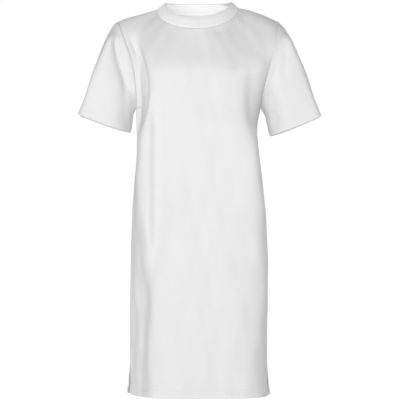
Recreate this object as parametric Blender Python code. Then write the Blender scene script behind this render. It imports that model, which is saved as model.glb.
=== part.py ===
"""A knee-length t-shirt dress in white cotton jersey, filled out as worn, with nobody in it.

Metres, +Z up, the front facing -Y, and left and right as seen from the front. The origin is
midway between the two high shoulder points, where a wearer's shoulders carry the dress.
Every piece is a thin closed wall: an outer skin of points worked out from the tables below,
an inner skin behind it, and rims that join them along the piece's edges.
"""

from collections import namedtuple
import math

import bpy
import numpy as np

# Cloth and sewing
JERSEY = 0.0016
TURNED_HEM = 0.0028
RIB = 0.0024
SEAM_GAP = 0.0003
HEM_DEPTH = 0.030
SLEEVE_HEM_DEPTH = 0.055
HEM_STEP = 0.0025
SHARPEST_SEAM = 0.45
RIM_ORDER = np.array([0.11, 0.37, 1.0])
SHARP_ANGLE = math.radians(50)

# Heights
ARMPIT_HEIGHT = -0.262
FRONT_HEM_HEIGHT = -1.001
BACK_HEM_HEIGHT = -1.003
SIDE_HEM_HEIGHT = -1.004
LEFT_VENT_HEIGHT = -0.894
RIGHT_VENT_HEIGHT = -0.908

# How far the edges of the panels stray from the side seam's line at the foot of a vent. The
# corners at the left vent hang a little higher than those at the right.
FRONT_VENT_IN = 0.0015
BACK_VENT_OUT = 0.0055
FRONT_VENT_FORWARD = 0.0045
BACK_VENT_BACK = 0.0010
LEFT_VENT_LIFT = 0.006
VENT_REACH = 0.25

# Columns of a panel: those under the neckline, and those under each shoulder
NECK_COLUMNS = 14
SHOULDER_COLUMNS = 10
NECK_SHARE = 0.40
BODY_ROWS = 18
CHEST_ROWS = 12
YOKE_ROW = 5
SLEEVE_ROWS = 8
BAND_ROWS = 3

# Columns beside a sewn edge over which folds die out, and the share of a fold's length that
# each of its ends takes to fade
SEWN_COLUMNS = 3
FOLD_FADE = 0.35

# The share of the chest's height over which its rows turn from a squarish arch to a rounder
# one, how flat that one is in its middle, and how sharply a yoke row bends to meet its armhole
CHEST_ROUNDING = 0.45
YOKE_FLATNESS = 5.5
ARMHOLE_PULL = 5

# The body below the armpits: half widths to each side, and depths to the front and back,
# all from the line of the side seams. A squareness of 2 is an ellipse. The sides of the front
# lean in by a share of the half width on their way to the plane of the front.
Section = namedtuple(
    "Section",
    "height left right front back left_square right_square back_square left_lean right_lean",
)
SECTIONS = [
    Section(-0.262, 0.163, 0.160, 0.143, 0.112, 6.0, 4.6, 2.25, 0.10, 0.10),
    Section(-0.300, 0.163, 0.153, 0.143, 0.109, 6.5, 6.0, 2.30, 0.06, 0.06),
    Section(-0.370, 0.161, 0.153, 0.138, 0.104, 7.0, 8.5, 2.40, 0.03, 0.00),
    Section(-0.450, 0.168, 0.163, 0.132, 0.103, 6.0, 8.0, 2.50, 0.06, 0.00),
    Section(-0.550, 0.174, 0.173, 0.128, 0.112, 5.5, 5.0, 2.60, 0.13, 0.00),
    Section(-0.640, 0.177, 0.178, 0.128, 0.120, 6.0, 4.5, 2.65, 0.22, 0.00),
    Section(-0.780, 0.179, 0.178, 0.129, 0.123, 6.5, 4.1, 2.70, 0.30, 0.02),
    Section(-0.900, 0.179, 0.177, 0.130, 0.124, 6.5, 3.8, 2.75, 0.31, 0.04),
    Section(-1.010, 0.180, 0.177, 0.131, 0.126, 6.5, 3.8, 2.80, 0.30, 0.04),
]

# The middle of the chest and of the upper back, from the armpits' height up to the neckline
Middle = namedtuple("Middle", "share front back")
MIDDLES = [
    Middle(0.00, 0.143, 0.112),
    Middle(0.25, 0.1425, 0.116),
    Middle(0.50, 0.1390, 0.115),
    Middle(0.75, 0.1200, 0.105),
    Middle(1.00, 0.0970, 0.080),
]

# How steeply a panel reaches its top edge: at the middle of each neckline, beside the neck,
# and over the shoulders. Inward is towards the neck, or over a shoulder towards its seam.
# The neckline's slope gives way to the shoulder's between these shares of a row.
Rise = namedtuple("Rise", "inward upward")
FRONT_NECK_RISE = Rise(0.055, 0.115)
BACK_NECK_RISE = Rise(0.055, 0.135)
BESIDE_NECK_RISE = Rise(0.075, 0.032)
SHOULDER_RISE = Rise(0.150, 0.025)
CORNER_SPREAD = (0.05, 1.00)

# The shoulder seam from the neckline out to the sleeve, as heights on each side
Shoulder = namedtuple("Shoulder", "share left right")
SHOULDERS = [
    Shoulder(0.00, -0.003, 0.000),
    Shoulder(0.25, -0.0112, -0.005),
    Shoulder(0.50, -0.0185, -0.0135),
    Shoulder(0.75, -0.0255, -0.0240),
    Shoulder(1.00, -0.0360, -0.0360),
]

# The armhole seam from the shoulder down to the armpit. Left and right are distances from
# the middle, the others are depths from the shoulder's line: on the front, where the seam lies
# in a hollow between the chest and each sleeve, and on the back.
Armhole = namedtuple("Armhole", "height left right left_front right_front back")
ARMHOLES = [
    Armhole(-0.036, 0.2100, 0.2060, 0.000, 0.000, 0.000),
    Armhole(-0.042, 0.2075, 0.2050, 0.022, 0.024, 0.020),
    Armhole(-0.058, 0.2020, 0.2020, 0.045, 0.049, 0.039),
    Armhole(-0.085, 0.1910, 0.1970, 0.066, 0.074, 0.058),
    Armhole(-0.120, 0.1780, 0.1900, 0.076, 0.088, 0.074),
    Armhole(-0.160, 0.1690, 0.1800, 0.070, 0.087, 0.083),
    Armhole(-0.205, 0.1640, 0.1680, 0.054, 0.068, 0.078),
    Armhole(-0.242, 0.1620, 0.1615, 0.030, 0.038, 0.048),
    Armhole(-0.262, 0.1630, 0.1600, 0.000, 0.000, 0.000),
]

# The two edges of the neck band: its seam on the body, and its folded top
Ring = namedtuple(
    "Ring",
    "left right front back left_height right_height front_height back_height"
    " left_squareness right_squareness",
)
NECK_SEAM = Ring(0.108, 0.102, 0.097, 0.080, -0.003, 0.000, -0.0615, -0.012, 2.2, 1.9)
NECK_TOP = Ring(0.087, 0.085, 0.086, 0.070, 0.0138, 0.0160, -0.0320, 0.0160, 2.3, 1.7)
BAND_BULGE = 0.0015

# The sleeve's hem: its innermost and outermost points, its depth from front to back, and how
# far its front and back bow down between those points
SleeveHem = namedtuple(
    "SleeveHem", "inner_across inner_height outer_across outer_height depth bow"
)
LEFT_HEM = SleeveHem(0.180, -0.323, 0.309, -0.2775, 0.138, 0.003)
RIGHT_HEM = SleeveHem(0.186, -0.332, 0.3135, -0.2810, 0.138, 0.0035)
SLEEVE_HEM_SHIFT = 0.004

# How a sleeve leaves its armhole, at the armpit and over each shoulder: the way it sets off,
# and how strongly it keeps to that way and to the one in which it comes to its hem
Leaving = namedtuple("Leaving", "out down reach arrival")
UNDER_ARM = Leaving(0.62, 0.78, 1.0, 1.0)
OVER_LEFT_SHOULDER = Leaving(0.906, 0.423, 0.475, 0.4)
OVER_RIGHT_SHOULDER = Leaving(0.82, 0.574, 0.60, 0.4)
LEAVING_DEPTH = 0.60

# A sleeve is flat in front and turns back tightly at its outer side, more softly at its inner.
# It is fully so from this share of its length down.
SLEEVE_OUTER_SQUARENESS = 9.0
SLEEVE_INNER_SQUARENESS = 2.1
SLEEVE_SQUARE_BY = 0.20

# Folds of a panel, as seen from its own side. Each is a soft trough, or a ridge where its
# depth is below zero, between an upper and a lower end.
Fold = namedtuple("Fold", "across_top top across_foot foot width depth")
FRONT_FOLDS = [
    Fold(-0.150, -0.150, -0.153, -0.330, 0.012, 0.007),
    Fold(0.130, -0.150, 0.144, -0.350, 0.013, 0.006),
    Fold(-0.116, -0.300, -0.122, -0.620, 0.016, 0.0045),
    Fold(-0.138, -0.560, -0.137, -1.060, 0.015, 0.0070),
    Fold(-0.070, -0.180, -0.066, -0.660, 0.020, -0.0030),
    Fold(0.040, -0.800, 0.043, -1.060, 0.014, 0.0025),
]
BACK_FOLDS = [
    Fold(-0.146, -0.160, -0.150, -0.360, 0.012, 0.009),
    Fold(0.148, -0.150, 0.146, -0.340, 0.012, 0.009),
    Fold(0.014, -0.300, 0.006, -0.640, 0.022, 0.0050),
    Fold(-0.104, -0.420, -0.112, -0.880, 0.018, 0.0050),
    Fold(0.122, -0.520, 0.118, -1.060, 0.017, 0.0060),
]

# Folds of a sleeve. Around goes from the armpit, 0, over the front to the shoulder, 0.5. Each
# fades at its foot over a share of the sleeve's length, and all of them begin below the cap.
CAP_SHARE = 0.25
SLEEVE_FOLD_FADE = 0.3
SleeveFold = namedtuple("SleeveFold", "around_top top around_foot foot width depth")
LEFT_SLEEVE_FOLDS = [
    SleeveFold(0.40, -0.10, 0.26, 0.62, 0.045, -0.0040),
    SleeveFold(0.12, 0.05, 0.10, 0.95, 0.050, 0.0040),
    SleeveFold(0.80, -0.05, 0.88, 0.80, 0.050, 0.0040),
]
RIGHT_SLEEVE_FOLDS = [
    SleeveFold(0.38, -0.10, 0.30, 0.75, 0.045, -0.0035),
    SleeveFold(0.13, 0.05, 0.10, 0.95, 0.050, 0.0045),
    SleeveFold(0.78, -0.05, 0.86, 0.75, 0.050, 0.0040),
]

WHITE_JERSEY = (0.83, 0.83, 0.825, 1.0)
WHITE_RIB = (0.85, 0.85, 0.845, 1.0)
COTTON_ROUGHNESS = 0.88


def unit(vectors):
    """The vectors at length one."""
    return vectors / np.maximum(np.linalg.norm(vectors, axis=-1, keepdims=True), 1e-12)


def smooth(knots, values, at):
    """A curve through a table's column: cubic between its rows, with no kink at a row."""
    knots = np.asarray(knots, float)
    values = np.asarray(values, float)
    slopes = np.gradient(values, knots)
    at = np.clip(at, knots[0], knots[-1])
    i = np.clip(np.searchsorted(knots, at, side="right") - 1, 0, len(knots) - 2)
    span = knots[i + 1] - knots[i]
    t = (at - knots[i]) / span
    ease_in = t * t * (3 - 2 * t)
    rise = slopes[i] * span * t * (1 - t) ** 2
    fall = slopes[i + 1] * span * t * t * (t - 1)
    return values[i] * (1 - ease_in) + values[i + 1] * ease_in + rise + fall


def ramp(value, start, end):
    """Rises softly from 0 at start to 1 at end."""
    t = np.clip((value - start) / (end - start), 0.0, 1.0)
    return t * t * (3 - 2 * t)


def superellipse(angle, squareness, lean):
    """The two coordinates of a rounded quarter turn, both from 0 to 1.

    Lean is how far the side leans in as it comes to the front, as a share of the half width.
    """
    across, ahead = np.sin(angle), np.cos(angle)
    side = np.abs(across) + lean * np.abs(ahead)
    reach = (side**squareness + np.abs(ahead) ** squareness) ** (-1 / squareness)
    return across * reach, ahead * reach


def closed_curve(knots, count):
    """Even points on a smooth loop through the knots, from the first one round."""
    knots = np.asarray(knots, float)
    size = len(knots)
    t = np.linspace(0, size, 60 * size, endpoint=False)
    i = t.astype(int)
    s = (t - i)[:, None]
    before, start, end, after = (knots[(i + k) % size] for k in (-1, 0, 1, 2))
    slope_start = (end - before) / 2
    slope_end = (after - start) / 2
    dense = (
        start * (1 + 2 * s) * (1 - s) ** 2
        + end * s * s * (3 - 2 * s)
        + slope_start * s * (1 - s) ** 2
        + slope_end * s * s * (s - 1)
    )
    dense = np.vstack([dense, dense[:1]])
    along = np.concatenate([[0], np.cumsum(np.linalg.norm(np.diff(dense, axis=0), axis=1))])
    at = np.linspace(0, along[-1], count, endpoint=False)
    return np.stack([np.interp(at, along, dense[:, k]) for k in range(3)], axis=1)


def armhole_loop(side):
    """Points round an armhole: armpit, front, shoulder, back. Side is -1 left, 1 right."""
    if side < 0:
        down = [(-row.left, -row.left_front, row) for row in ARMHOLES]
    else:
        down = [(row.right, -row.right_front, row) for row in ARMHOLES]
    front = [(across, depth, row.height) for across, depth, row in reversed(down)]
    back = [(across, row.back, row.height) for across, _, row in down[1:-1]]
    knots = front + back
    points = closed_curve(knots, 2 * CHEST_ROWS)
    # The shoulder's own point stays exact, so that both panels and the sleeve share it.
    points[CHEST_ROWS] = front[-1]
    return points


def neck_ring(ring, angle):
    """Points of one edge of the neck band. Angle 0 is the middle of the front."""
    across, ahead = np.sin(angle), np.cos(angle)
    is_left = across < 0
    half = np.where(is_left, ring.left, ring.right)
    side_height = np.where(is_left, ring.left_height, ring.right_height)
    square = np.where(is_left, ring.left_squareness, ring.right_squareness)
    share = np.maximum(1 - np.abs(across) ** square, 0.0) ** (1 / square)
    middle = np.where(ahead > 0, ring.front_height, ring.back_height)
    depth = -np.where(ahead > 0, ring.front, ring.back) * ahead
    return np.stack(
        [half * across, depth, side_height + (middle - side_height) * share], axis=-1
    )


def column_places():
    """Where a panel's columns lie, from -1 at the left edge to 1 at the right."""
    left = np.linspace(-1, -NECK_SHARE, SHOULDER_COLUMNS, endpoint=False)
    neck = np.linspace(-NECK_SHARE, NECK_SHARE, NECK_COLUMNS + 1)
    return np.concatenate([left, neck, -left[::-1]])


def body_heights():
    """The heights of a panel's rows from the hem up to the armpits, as shares."""
    whole = ARMPIT_HEIGHT - SIDE_HEM_HEIGHT
    hem = HEM_DEPTH / whole
    step = HEM_STEP / whole
    rows = np.linspace(hem + step, 1, BODY_ROWS - 2)
    return np.concatenate([[0, hem / 2, hem], rows])


def top_edge(columns, facing):
    """A panel's top edge: shoulder seam, neckline, shoulder seam. Facing is -1 front, 1 back."""
    inside = np.clip(columns / NECK_SHARE, -1, 1) * math.pi / 2
    angle = inside if facing < 0 else math.pi - inside
    neckline = neck_ring(NECK_SEAM, angle)
    share = np.clip((np.abs(columns) - NECK_SHARE) / (1 - NECK_SHARE), 0, 1)
    knots = [row.share for row in SHOULDERS]
    is_left = columns < 0
    height = np.where(
        is_left,
        smooth(knots, [row.left for row in SHOULDERS], share),
        smooth(knots, [row.right for row in SHOULDERS], share),
    )
    start = np.where(is_left, NECK_SEAM.left, NECK_SEAM.right)
    end = np.where(is_left, ARMHOLES[0].left, ARMHOLES[0].right)
    across = np.sign(columns) * (start + (end - start) * share)
    shoulder = np.stack([across, np.zeros_like(across), height], axis=-1)
    return np.where((np.abs(columns) > NECK_SHARE)[:, None], shoulder, neckline)


def arch(columns, left, right, middle, squareness, lean, roundness):
    """One row across a panel, from its left end over its middle to its right end."""
    angle = np.abs(columns) * math.pi / 2
    across, ahead = superellipse(angle, squareness, lean)
    ahead = ahead * (1 - roundness) + (1 - across**YOKE_FLATNESS) * roundness
    end = np.where((columns < 0)[:, None], left, right)
    points = end + (middle - end) * ahead[:, None]
    points[:, 0] = end[:, 0] * across
    return points


def section_at(height):
    """The body's section at a height, between the rows of its table."""
    rows = SECTIONS[::-1]
    heights = [row.height for row in rows]
    columns = [[getattr(row, name) for row in rows] for name in Section._fields[1:]]
    return Section(height, *(float(smooth(heights, column, height)) for column in columns))


def corners(columns, section, facing):
    """How square a row's corners are, and how far its sides lean in."""
    if facing > 0:
        return section.back_square, 0.0
    is_left = columns < 0
    square = np.where(is_left, section.left_square, section.right_square)
    return square, np.maximum(np.where(is_left, section.left_lean, section.right_lean), 0)


def body_row(columns, share, facing):
    """A row below the armpits."""
    side = SIDE_HEM_HEIGHT + (ARMPIT_HEIGHT - SIDE_HEM_HEIGHT) * share
    hem = FRONT_HEM_HEIGHT if facing < 0 else BACK_HEM_HEIGHT
    centre = hem + (ARMPIT_HEIGHT - hem) * share
    section = section_at(side)
    left = np.array([-section.left, 0, side])
    right = np.array([section.right, 0, side])
    middle = np.array([0, -section.front if facing < 0 else section.back, centre])
    points = arch(columns, left, right, middle, *corners(columns, section, facing), 0.0)
    return points + vent(columns, side, facing)


def vent(columns, height, facing):
    """How far a panel's free edge strays from the seam's line, below the top of its vent."""
    near = np.clip((np.abs(columns) - 1 + VENT_REACH) / VENT_REACH, 0, 1) ** 2
    top = np.where(columns < 0, LEFT_VENT_HEIGHT, RIGHT_VENT_HEIGHT)
    open_share = near * ramp(height, top, SIDE_HEM_HEIGHT)
    across = -FRONT_VENT_IN if facing < 0 else BACK_VENT_OUT
    depth = -FRONT_VENT_FORWARD if facing < 0 else BACK_VENT_BACK
    shift = np.zeros((len(columns), 3))
    shift[:, 0] = np.sign(columns) * across * open_share
    shift[:, 1] = depth * open_share
    shift[:, 2] = np.where(columns < 0, LEFT_VENT_LIFT * open_share, 0)
    return shift


def chest_row(columns, share, left, right, facing):
    """A row above the armpits, whose ends lie on the armholes."""
    top = NECK_SEAM.front_height if facing < 0 else NECK_SEAM.back_height
    shares = [row.share for row in MIDDLES]
    name = "front" if facing < 0 else "back"
    depth = float(smooth(shares, [getattr(row, name) for row in MIDDLES], share))
    middle = np.array([0, facing * depth, ARMPIT_HEIGHT + (top - ARMPIT_HEIGHT) * share])
    roundness = ramp(share, 0.0, CHEST_ROUNDING)
    return arch(columns, left, right, middle, *corners(columns, SECTIONS[0], facing), roundness)


def panel_points(facing):
    """The outer skin of the front, -1, or the back, 1, as rows from the hem upwards."""
    columns = column_places()
    loops = [armhole_loop(side) for side in (-1, 1)]
    if facing > 0:
        loops = [np.roll(loop[::-1], 1, axis=0) for loop in loops]
    rows = [body_row(columns, share, facing) for share in body_heights()]
    for j in range(1, YOKE_ROW + 1):
        rows.append(chest_row(columns, j / CHEST_ROWS, loops[0][j], loops[1][j], facing))
    return np.array(rows + yoke_rows(columns, rows[-2:], loops, facing))


def neck_ending(columns, facing):
    """The slope at which a panel's columns reach its neckline, square to the neckline."""
    middle = FRONT_NECK_RISE if facing < 0 else BACK_NECK_RISE
    angle = np.clip(columns / NECK_SHARE, -1, 1) * math.pi / 2
    beside = np.sin(angle) ** 2
    inward = middle.inward + (BESIDE_NECK_RISE.inward - middle.inward) * beside
    upward = middle.upward + (BESIDE_NECK_RISE.upward - middle.upward) * beside
    return np.stack([-np.sin(angle) * inward, -facing * np.cos(angle) * inward, upward], axis=-1)


def yoke_rows(columns, last, loops, facing):
    """The rows that round over the shoulders, from the chest up to the panel's top edge."""
    count = CHEST_ROWS - YOKE_ROW
    start = last[1]
    rising = (last[1] - last[0]) * count
    over = ramp(np.abs(columns), *CORNER_SPREAD)[:, None]
    shoulder_end = np.array([0, -facing * SHOULDER_RISE.inward, SHOULDER_RISE.upward])
    ending = neck_ending(columns, facing) * (1 - over) + shoulder_end * over
    edge = top_edge(columns, facing)
    near_end = np.abs(columns)[:, None] ** ARMHOLE_PULL
    rows = []
    for j in range(CHEST_ROWS, YOKE_ROW, -1):
        t = (j - YOKE_ROW) / count
        row = (
            start * (1 + 2 * t) * (1 - t) ** 2
            + edge * t * t * (3 - 2 * t)
            + rising * t * (1 - t) ** 2
            + ending * t * t * (t - 1)
        )
        seam = np.where((columns < 0)[:, None], loops[0][j] - row[0], loops[1][j] - row[-1])
        rows.append(row + seam * near_end)
        # Lower rows feel less and less of the corner between neckline and shoulder.
        edge[1:-1] = (edge[:-2] + 2 * edge[1:-1] + edge[2:]) / 4
    return rows[::-1]


def folded(points, folds, facing):
    """The points moved along their normals into the folds of a table."""
    move = np.zeros(points.shape[:2])
    for fold in folds:
        down = np.clip((fold.top - points[..., 2]) / (fold.top - fold.foot), 0, 1)
        centre = fold.across_top + (fold.across_foot - fold.across_top) * down
        beside = np.exp(-(((points[..., 0] - centre) / fold.width) ** 2) / 2)
        length = fold.top - fold.foot
        ends = ramp(fold.top - points[..., 2], 0, FOLD_FADE * length)
        ends = ends * ramp(points[..., 2] - fold.foot, 0, FOLD_FADE * length)
        move -= fold.depth * beside * ends
    # The edges stay where they are, because other pieces are sewn to them.
    edge = np.minimum(np.arange(points.shape[1]), np.arange(points.shape[1])[::-1])
    move *= np.clip(edge / SEWN_COLUMNS, 0, 1)
    facing_in = facing * points[..., 1] > 0
    return points + normals(points, facing, False) * (move * facing_in)[..., None]


def normals(points, facing, closed):
    """Unit normals of a grid of points, on its outer side."""
    if closed:
        across = np.roll(points, -1, axis=1) - np.roll(points, 1, axis=1)
    else:
        across = np.gradient(points, axis=1)
    up = np.gradient(points, axis=0)
    return unit(-facing * np.cross(across, up))


def sleeve_points(side):
    """The outer skin of a sleeve: rows from the armhole to the hem, closed around."""
    hem = LEFT_HEM if side < 0 else RIGHT_HEM
    start = armhole_loop(side)
    around = np.arange(2 * CHEST_ROWS) / (2 * CHEST_ROWS) * 2 * math.pi
    inner = np.array([side * hem.inner_across, 0, hem.inner_height])
    outer = np.array([side * hem.outer_across, 0, hem.outer_height])
    middle = (inner + outer) / 2 + np.array([0, SLEEVE_HEM_SHIFT, 0])
    half = (outer - inner) / 2
    square = np.where(np.cos(around) < 0, SLEEVE_OUTER_SQUARENESS, SLEEVE_INNER_SQUARENESS)
    fuller = (np.abs(np.sin(around)) ** square + np.abs(np.cos(around)) ** square) ** (-1 / square)
    end = middle - np.cos(around)[:, None] * half
    end[:, 1] -= np.sin(around) * hem.depth / 2
    over = ((1 - np.cos(around)) / 2)[:, None]
    shoulder = OVER_LEFT_SHOULDER if side < 0 else OVER_RIGHT_SHOULDER
    out = UNDER_ARM.out + (shoulder.out - UNDER_ARM.out) * over
    down = UNDER_ARM.down + (shoulder.down - UNDER_ARM.down) * over
    reach = UNDER_ARM.reach + (shoulder.reach - UNDER_ARM.reach) * over
    arrival = UNDER_ARM.arrival + (shoulder.arrival - UNDER_ARM.arrival) * over
    leaving = np.hstack([side * out, -LEAVING_DEPTH * np.sin(around)[:, None], -down])
    along = unit(np.array([side * half[2], 0.0, -abs(half[0])]))
    end = end + along * hem.bow * np.sin(around)[:, None] ** 2
    chord = np.linalg.norm(end - start, axis=1, keepdims=True)
    rows = []
    for t in sleeve_shares(hem):
        row = (
            start * (1 + 2 * t) * (1 - t) ** 2
            + end * t * t * (3 - 2 * t)
            + unit(leaving) * reach * chord * t * (1 - t) ** 2
            + along * arrival * chord * t * t * (t - 1)
        )
        # Below its cap a sleeve is as square, across and from front to back, as its hem.
        more = ((fuller - 1) * ramp(t, 0, SLEEVE_SQUARE_BY))[:, None]
        width = row[CHEST_ROWS] - row[0]
        share = (row - (row[0] + row[CHEST_ROWS]) / 2) @ width / (width @ width)
        row = row + share[:, None] * width * more + row * [0, 1, 0] * more
        rows.append(row)
    return sleeve_folded(np.array(rows), side)


def sleeve_shares(hem):
    """Where a sleeve's rows lie, from the armhole, 0, to the hem, 1."""
    length = math.hypot(hem.outer_across - ARMHOLES[0].right, hem.outer_height)
    turn = 1 - SLEEVE_HEM_DEPTH / length
    step = HEM_STEP / length
    rows = np.linspace(0, turn - step, SLEEVE_ROWS - 1)
    return np.concatenate([rows, [turn, (1 + turn) / 2, 1]])


def sleeve_folded(points, side):
    """A sleeve's points moved along their normals into its folds."""
    rows, columns = points.shape[:2]
    down = np.linspace(0, 1, rows)[:, None]
    around = (np.arange(columns) / columns)[None, :]
    move = np.zeros((rows, columns))
    for fold in LEFT_SLEEVE_FOLDS if side < 0 else RIGHT_SLEEVE_FOLDS:
        share = np.clip((down - fold.top) / (fold.foot - fold.top), 0, 1)
        centre = fold.around_top + (fold.around_foot - fold.around_top) * share
        beside = np.exp(-(((around - centre) / fold.width) ** 2) / 2)
        fade = ramp(down, fold.foot, fold.foot - SLEEVE_FOLD_FADE)
        move -= fold.depth * beside * fade
    move *= ramp(down, 0.0, CAP_SHARE)
    return points + normals(points, side, True) * move[..., None]


def band_points():
    """The outer skin of the neck band: rows from its seam to its folded top, closed around."""
    front = np.linspace(-math.pi / 2, math.pi / 2, NECK_COLUMNS, endpoint=False)
    angle = np.concatenate([front, front + math.pi])
    seam = neck_ring(NECK_SEAM, angle)
    top = neck_ring(NECK_TOP, angle)
    rows = []
    for t in np.linspace(0, 1, BAND_ROWS + 1):
        bulge = BAND_BULGE * 4 * t * (1 - t)
        outward = unit(seam * np.array([1, 1, 0]))
        rows.append(seam + (top - seam) * t + outward * bulge)
    return np.array(rows)


def seam_offset(first, second):
    """The wall's direction at a seam, which both pieces share, so that their rims match."""
    both = np.sum(first * second, axis=-1, keepdims=True)
    return (first + second) / np.maximum(1 + both, SHARPEST_SEAM)


def seam_step(line, offset, beside):
    """Half the seam's gap, square to the rim, on the side where the points beside it lie."""
    along = np.gradient(line, axis=0)
    step = unit(np.cross(along, offset))
    side = np.sign(np.sum(step * (beside - line), axis=-1, keepdims=True))
    return step * side * SEAM_GAP / 2


class Piece:
    """A cut piece: its outer points, the directions of its wall, and the wall's thickness."""

    def __init__(self, points, facing, closed, thickness):
        self.points = points
        self.closed = closed
        self.inward = -normals(points, facing, closed)
        self.shift = np.zeros_like(points)
        self.thickness = np.broadcast_to(thickness, points.shape[:2]).copy()
        self.facing = facing


def closed_wall(piece, name, colour):
    """Makes a piece's closed mesh and its object."""
    outer = piece.points + piece.shift
    inner = outer + piece.inward * piece.thickness[..., None]
    rows, columns = outer.shape[:2]
    count = rows * columns
    vertices = np.vstack([outer.reshape(-1, 3), inner.reshape(-1, 3)])
    spans = columns if piece.closed else columns - 1

    def corner(row, column, skin):
        return skin * count + row * columns + column % columns

    faces = []
    for j in range(rows - 1):
        for i in range(spans):
            quad = [corner(j, i, 0), corner(j, i + 1, 0), corner(j + 1, i + 1, 0), corner(j + 1, i, 0)]
            faces.append(quad)
            # Both skins split along the same diagonal, so that the wall keeps its thickness.
            faces.append([k + count for k in (quad[0], *reversed(quad[1:]))])
    edge = [(0, i) for i in range(spans + 1)]
    if piece.closed:
        far = [(rows - 1, i) for i in reversed(range(spans + 1))]
        edges = [edge, far]
    else:
        edge += [(j, columns - 1) for j in range(1, rows)]
        edge += [(rows - 1, i) for i in reversed(range(columns - 1))]
        edge += [(j, 0) for j in reversed(range(rows - 1))]
        edges = [edge]
    for line in edges:
        for start, end in zip(line, line[1:]):
            rim = [corner(*end, 0), corner(*start, 0), corner(*start, 1), corner(*end, 1)]
            # Pieces that share a seam split its rim along the same diagonal.
            if vertices[rim[0]] @ RIM_ORDER < vertices[rim[1]] @ RIM_ORDER:
                rim = rim[1:] + rim[:1]
            faces.append([rim[0], rim[1], rim[2]])
            faces.append([rim[0], rim[2], rim[3]])
    if piece.facing > 0:
        faces = [list(reversed(face)) for face in faces]
    mesh = bpy.data.meshes.new(name)
    mesh.from_pydata(vertices.tolist(), [], faces)
    mesh.validate()
    mesh.shade_smooth()
    mesh.set_sharp_from_angle(angle=SHARP_ANGLE)
    mesh.materials.append(cotton(name, colour))
    piece_object = bpy.data.objects.new(name, mesh)
    bpy.context.scene.collection.objects.link(piece_object)
    return piece_object


def cotton(name, colour):
    """The white cotton of one piece."""
    material = bpy.data.materials.new(name + "_cotton")
    material.use_nodes = True
    shader = material.node_tree.nodes["Principled BSDF"]
    shader.inputs["Base Color"].default_value = colour
    shader.inputs["Roughness"].default_value = COTTON_ROUGHNESS
    shader.inputs["Metallic"].default_value = 0.0
    return material


def make_panel(facing, folds):
    """A front, -1, or back, 1, before it is sewn to its neighbours."""
    points = folded(panel_points(facing), folds, facing)
    piece = Piece(points, facing, False, JERSEY)
    piece.thickness[:3] = TURNED_HEM
    return piece


def make_sleeve(side):
    """A sleeve before it is sewn in."""
    piece = Piece(sleeve_points(side), side, True, JERSEY)
    piece.thickness[-3:] = TURNED_HEM
    return piece


def sew_sides(front, back):
    """Joins the panels' side seams down to the vents."""
    heights = front.points[:, 0, 2]
    armpit = BODY_ROWS
    for column, top in ((0, LEFT_VENT_HEIGHT), (-1, RIGHT_VENT_HEIGHT)):
        rows = np.flatnonzero(heights[: armpit + 1] >= top)
        line = front.points[rows, column]
        beside = front.points[rows, 1 if column == 0 else -2]
        offset = seam_offset(front.inward[rows, column], back.inward[rows, column])
        step = seam_step(line, offset, beside)
        for piece, way in ((front, 1), (back, -1)):
            piece.inward[rows, column] = offset
            piece.shift[rows, column] += way * step


def sew_shoulders(front, back):
    """Joins the shoulder seams, from the neckline to the armholes."""
    last = front.points.shape[1]
    for columns in (
        np.arange(SHOULDER_COLUMNS + 1),
        np.arange(last - SHOULDER_COLUMNS - 1, last),
    ):
        line = front.points[-1, columns]
        offset = seam_offset(front.inward[-1, columns], back.inward[-1, columns])
        step = seam_step(line, offset, front.points[-2, columns])
        for piece, way in ((front, 1), (back, -1)):
            piece.inward[-1, columns] = offset
            piece.shift[-1, columns] += way * step


def sew_sleeve(front, back, sleeve, column):
    """Sets a sleeve into the armhole that both panels leave for it."""
    size = CHEST_ROWS
    rows = np.arange(BODY_ROWS, BODY_ROWS + size + 1)
    around = [(front, rows[k], k) for k in range(size + 1)]
    around += [(back, rows[2 * size - k], k) for k in range(size + 1, 2 * size)]
    panel_side = np.array([piece.inward[row, column] for piece, row, _ in around])
    line = sleeve.points[0]
    offset = seam_offset(unit(panel_side), sleeve.inward[0])
    wrapped = np.vstack([line[-1:], line, line[:1]])
    wrapped_offset = np.vstack([offset[-1:], offset, offset[:1]])
    beside = np.vstack([sleeve.points[1, -1:], sleeve.points[1], sleeve.points[1, :1]])
    step = seam_step(wrapped, wrapped_offset, beside)[1:-1]
    sleeve.inward[0] = offset
    sleeve.shift[0] += step
    for piece, row, k in around:
        piece.inward[row, column] = offset[k]
        piece.shift[row, column] -= step[k]
    # The back shares the armpit's and the shoulder's points with the front.
    for k in (0, size):
        back.inward[rows[k], column] = offset[k]
        back.shift[rows[k], column] -= step[k]


def sew_band(front, back, band):
    """Joins the neck band to both necklines."""
    first = SHOULDER_COLUMNS
    size = NECK_COLUMNS
    around = [(front, first + k, k) for k in range(size + 1)]
    around += [(back, first + 2 * size - k, k) for k in range(size + 1, 2 * size)]
    panel_side = np.array([piece.inward[-1, column] for piece, column, _ in around])
    line = band.points[0]
    offset = seam_offset(unit(panel_side), band.inward[0])
    wrapped = np.vstack([line[-1:], line, line[:1]])
    wrapped_offset = np.vstack([offset[-1:], offset, offset[:1]])
    beside = np.vstack([band.points[1, -1:], band.points[1], band.points[1, :1]])
    step = seam_step(wrapped, wrapped_offset, beside)[1:-1]
    band.inward[0] = offset
    band.shift[0] += step
    for piece, column, k in around:
        piece.inward[-1, column] = offset[k]
        piece.shift[-1, column] -= step[k]
    for k in (0, size):
        back.inward[-1, first + k] = offset[k]
        back.shift[-1, first + k] -= step[k]


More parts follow.
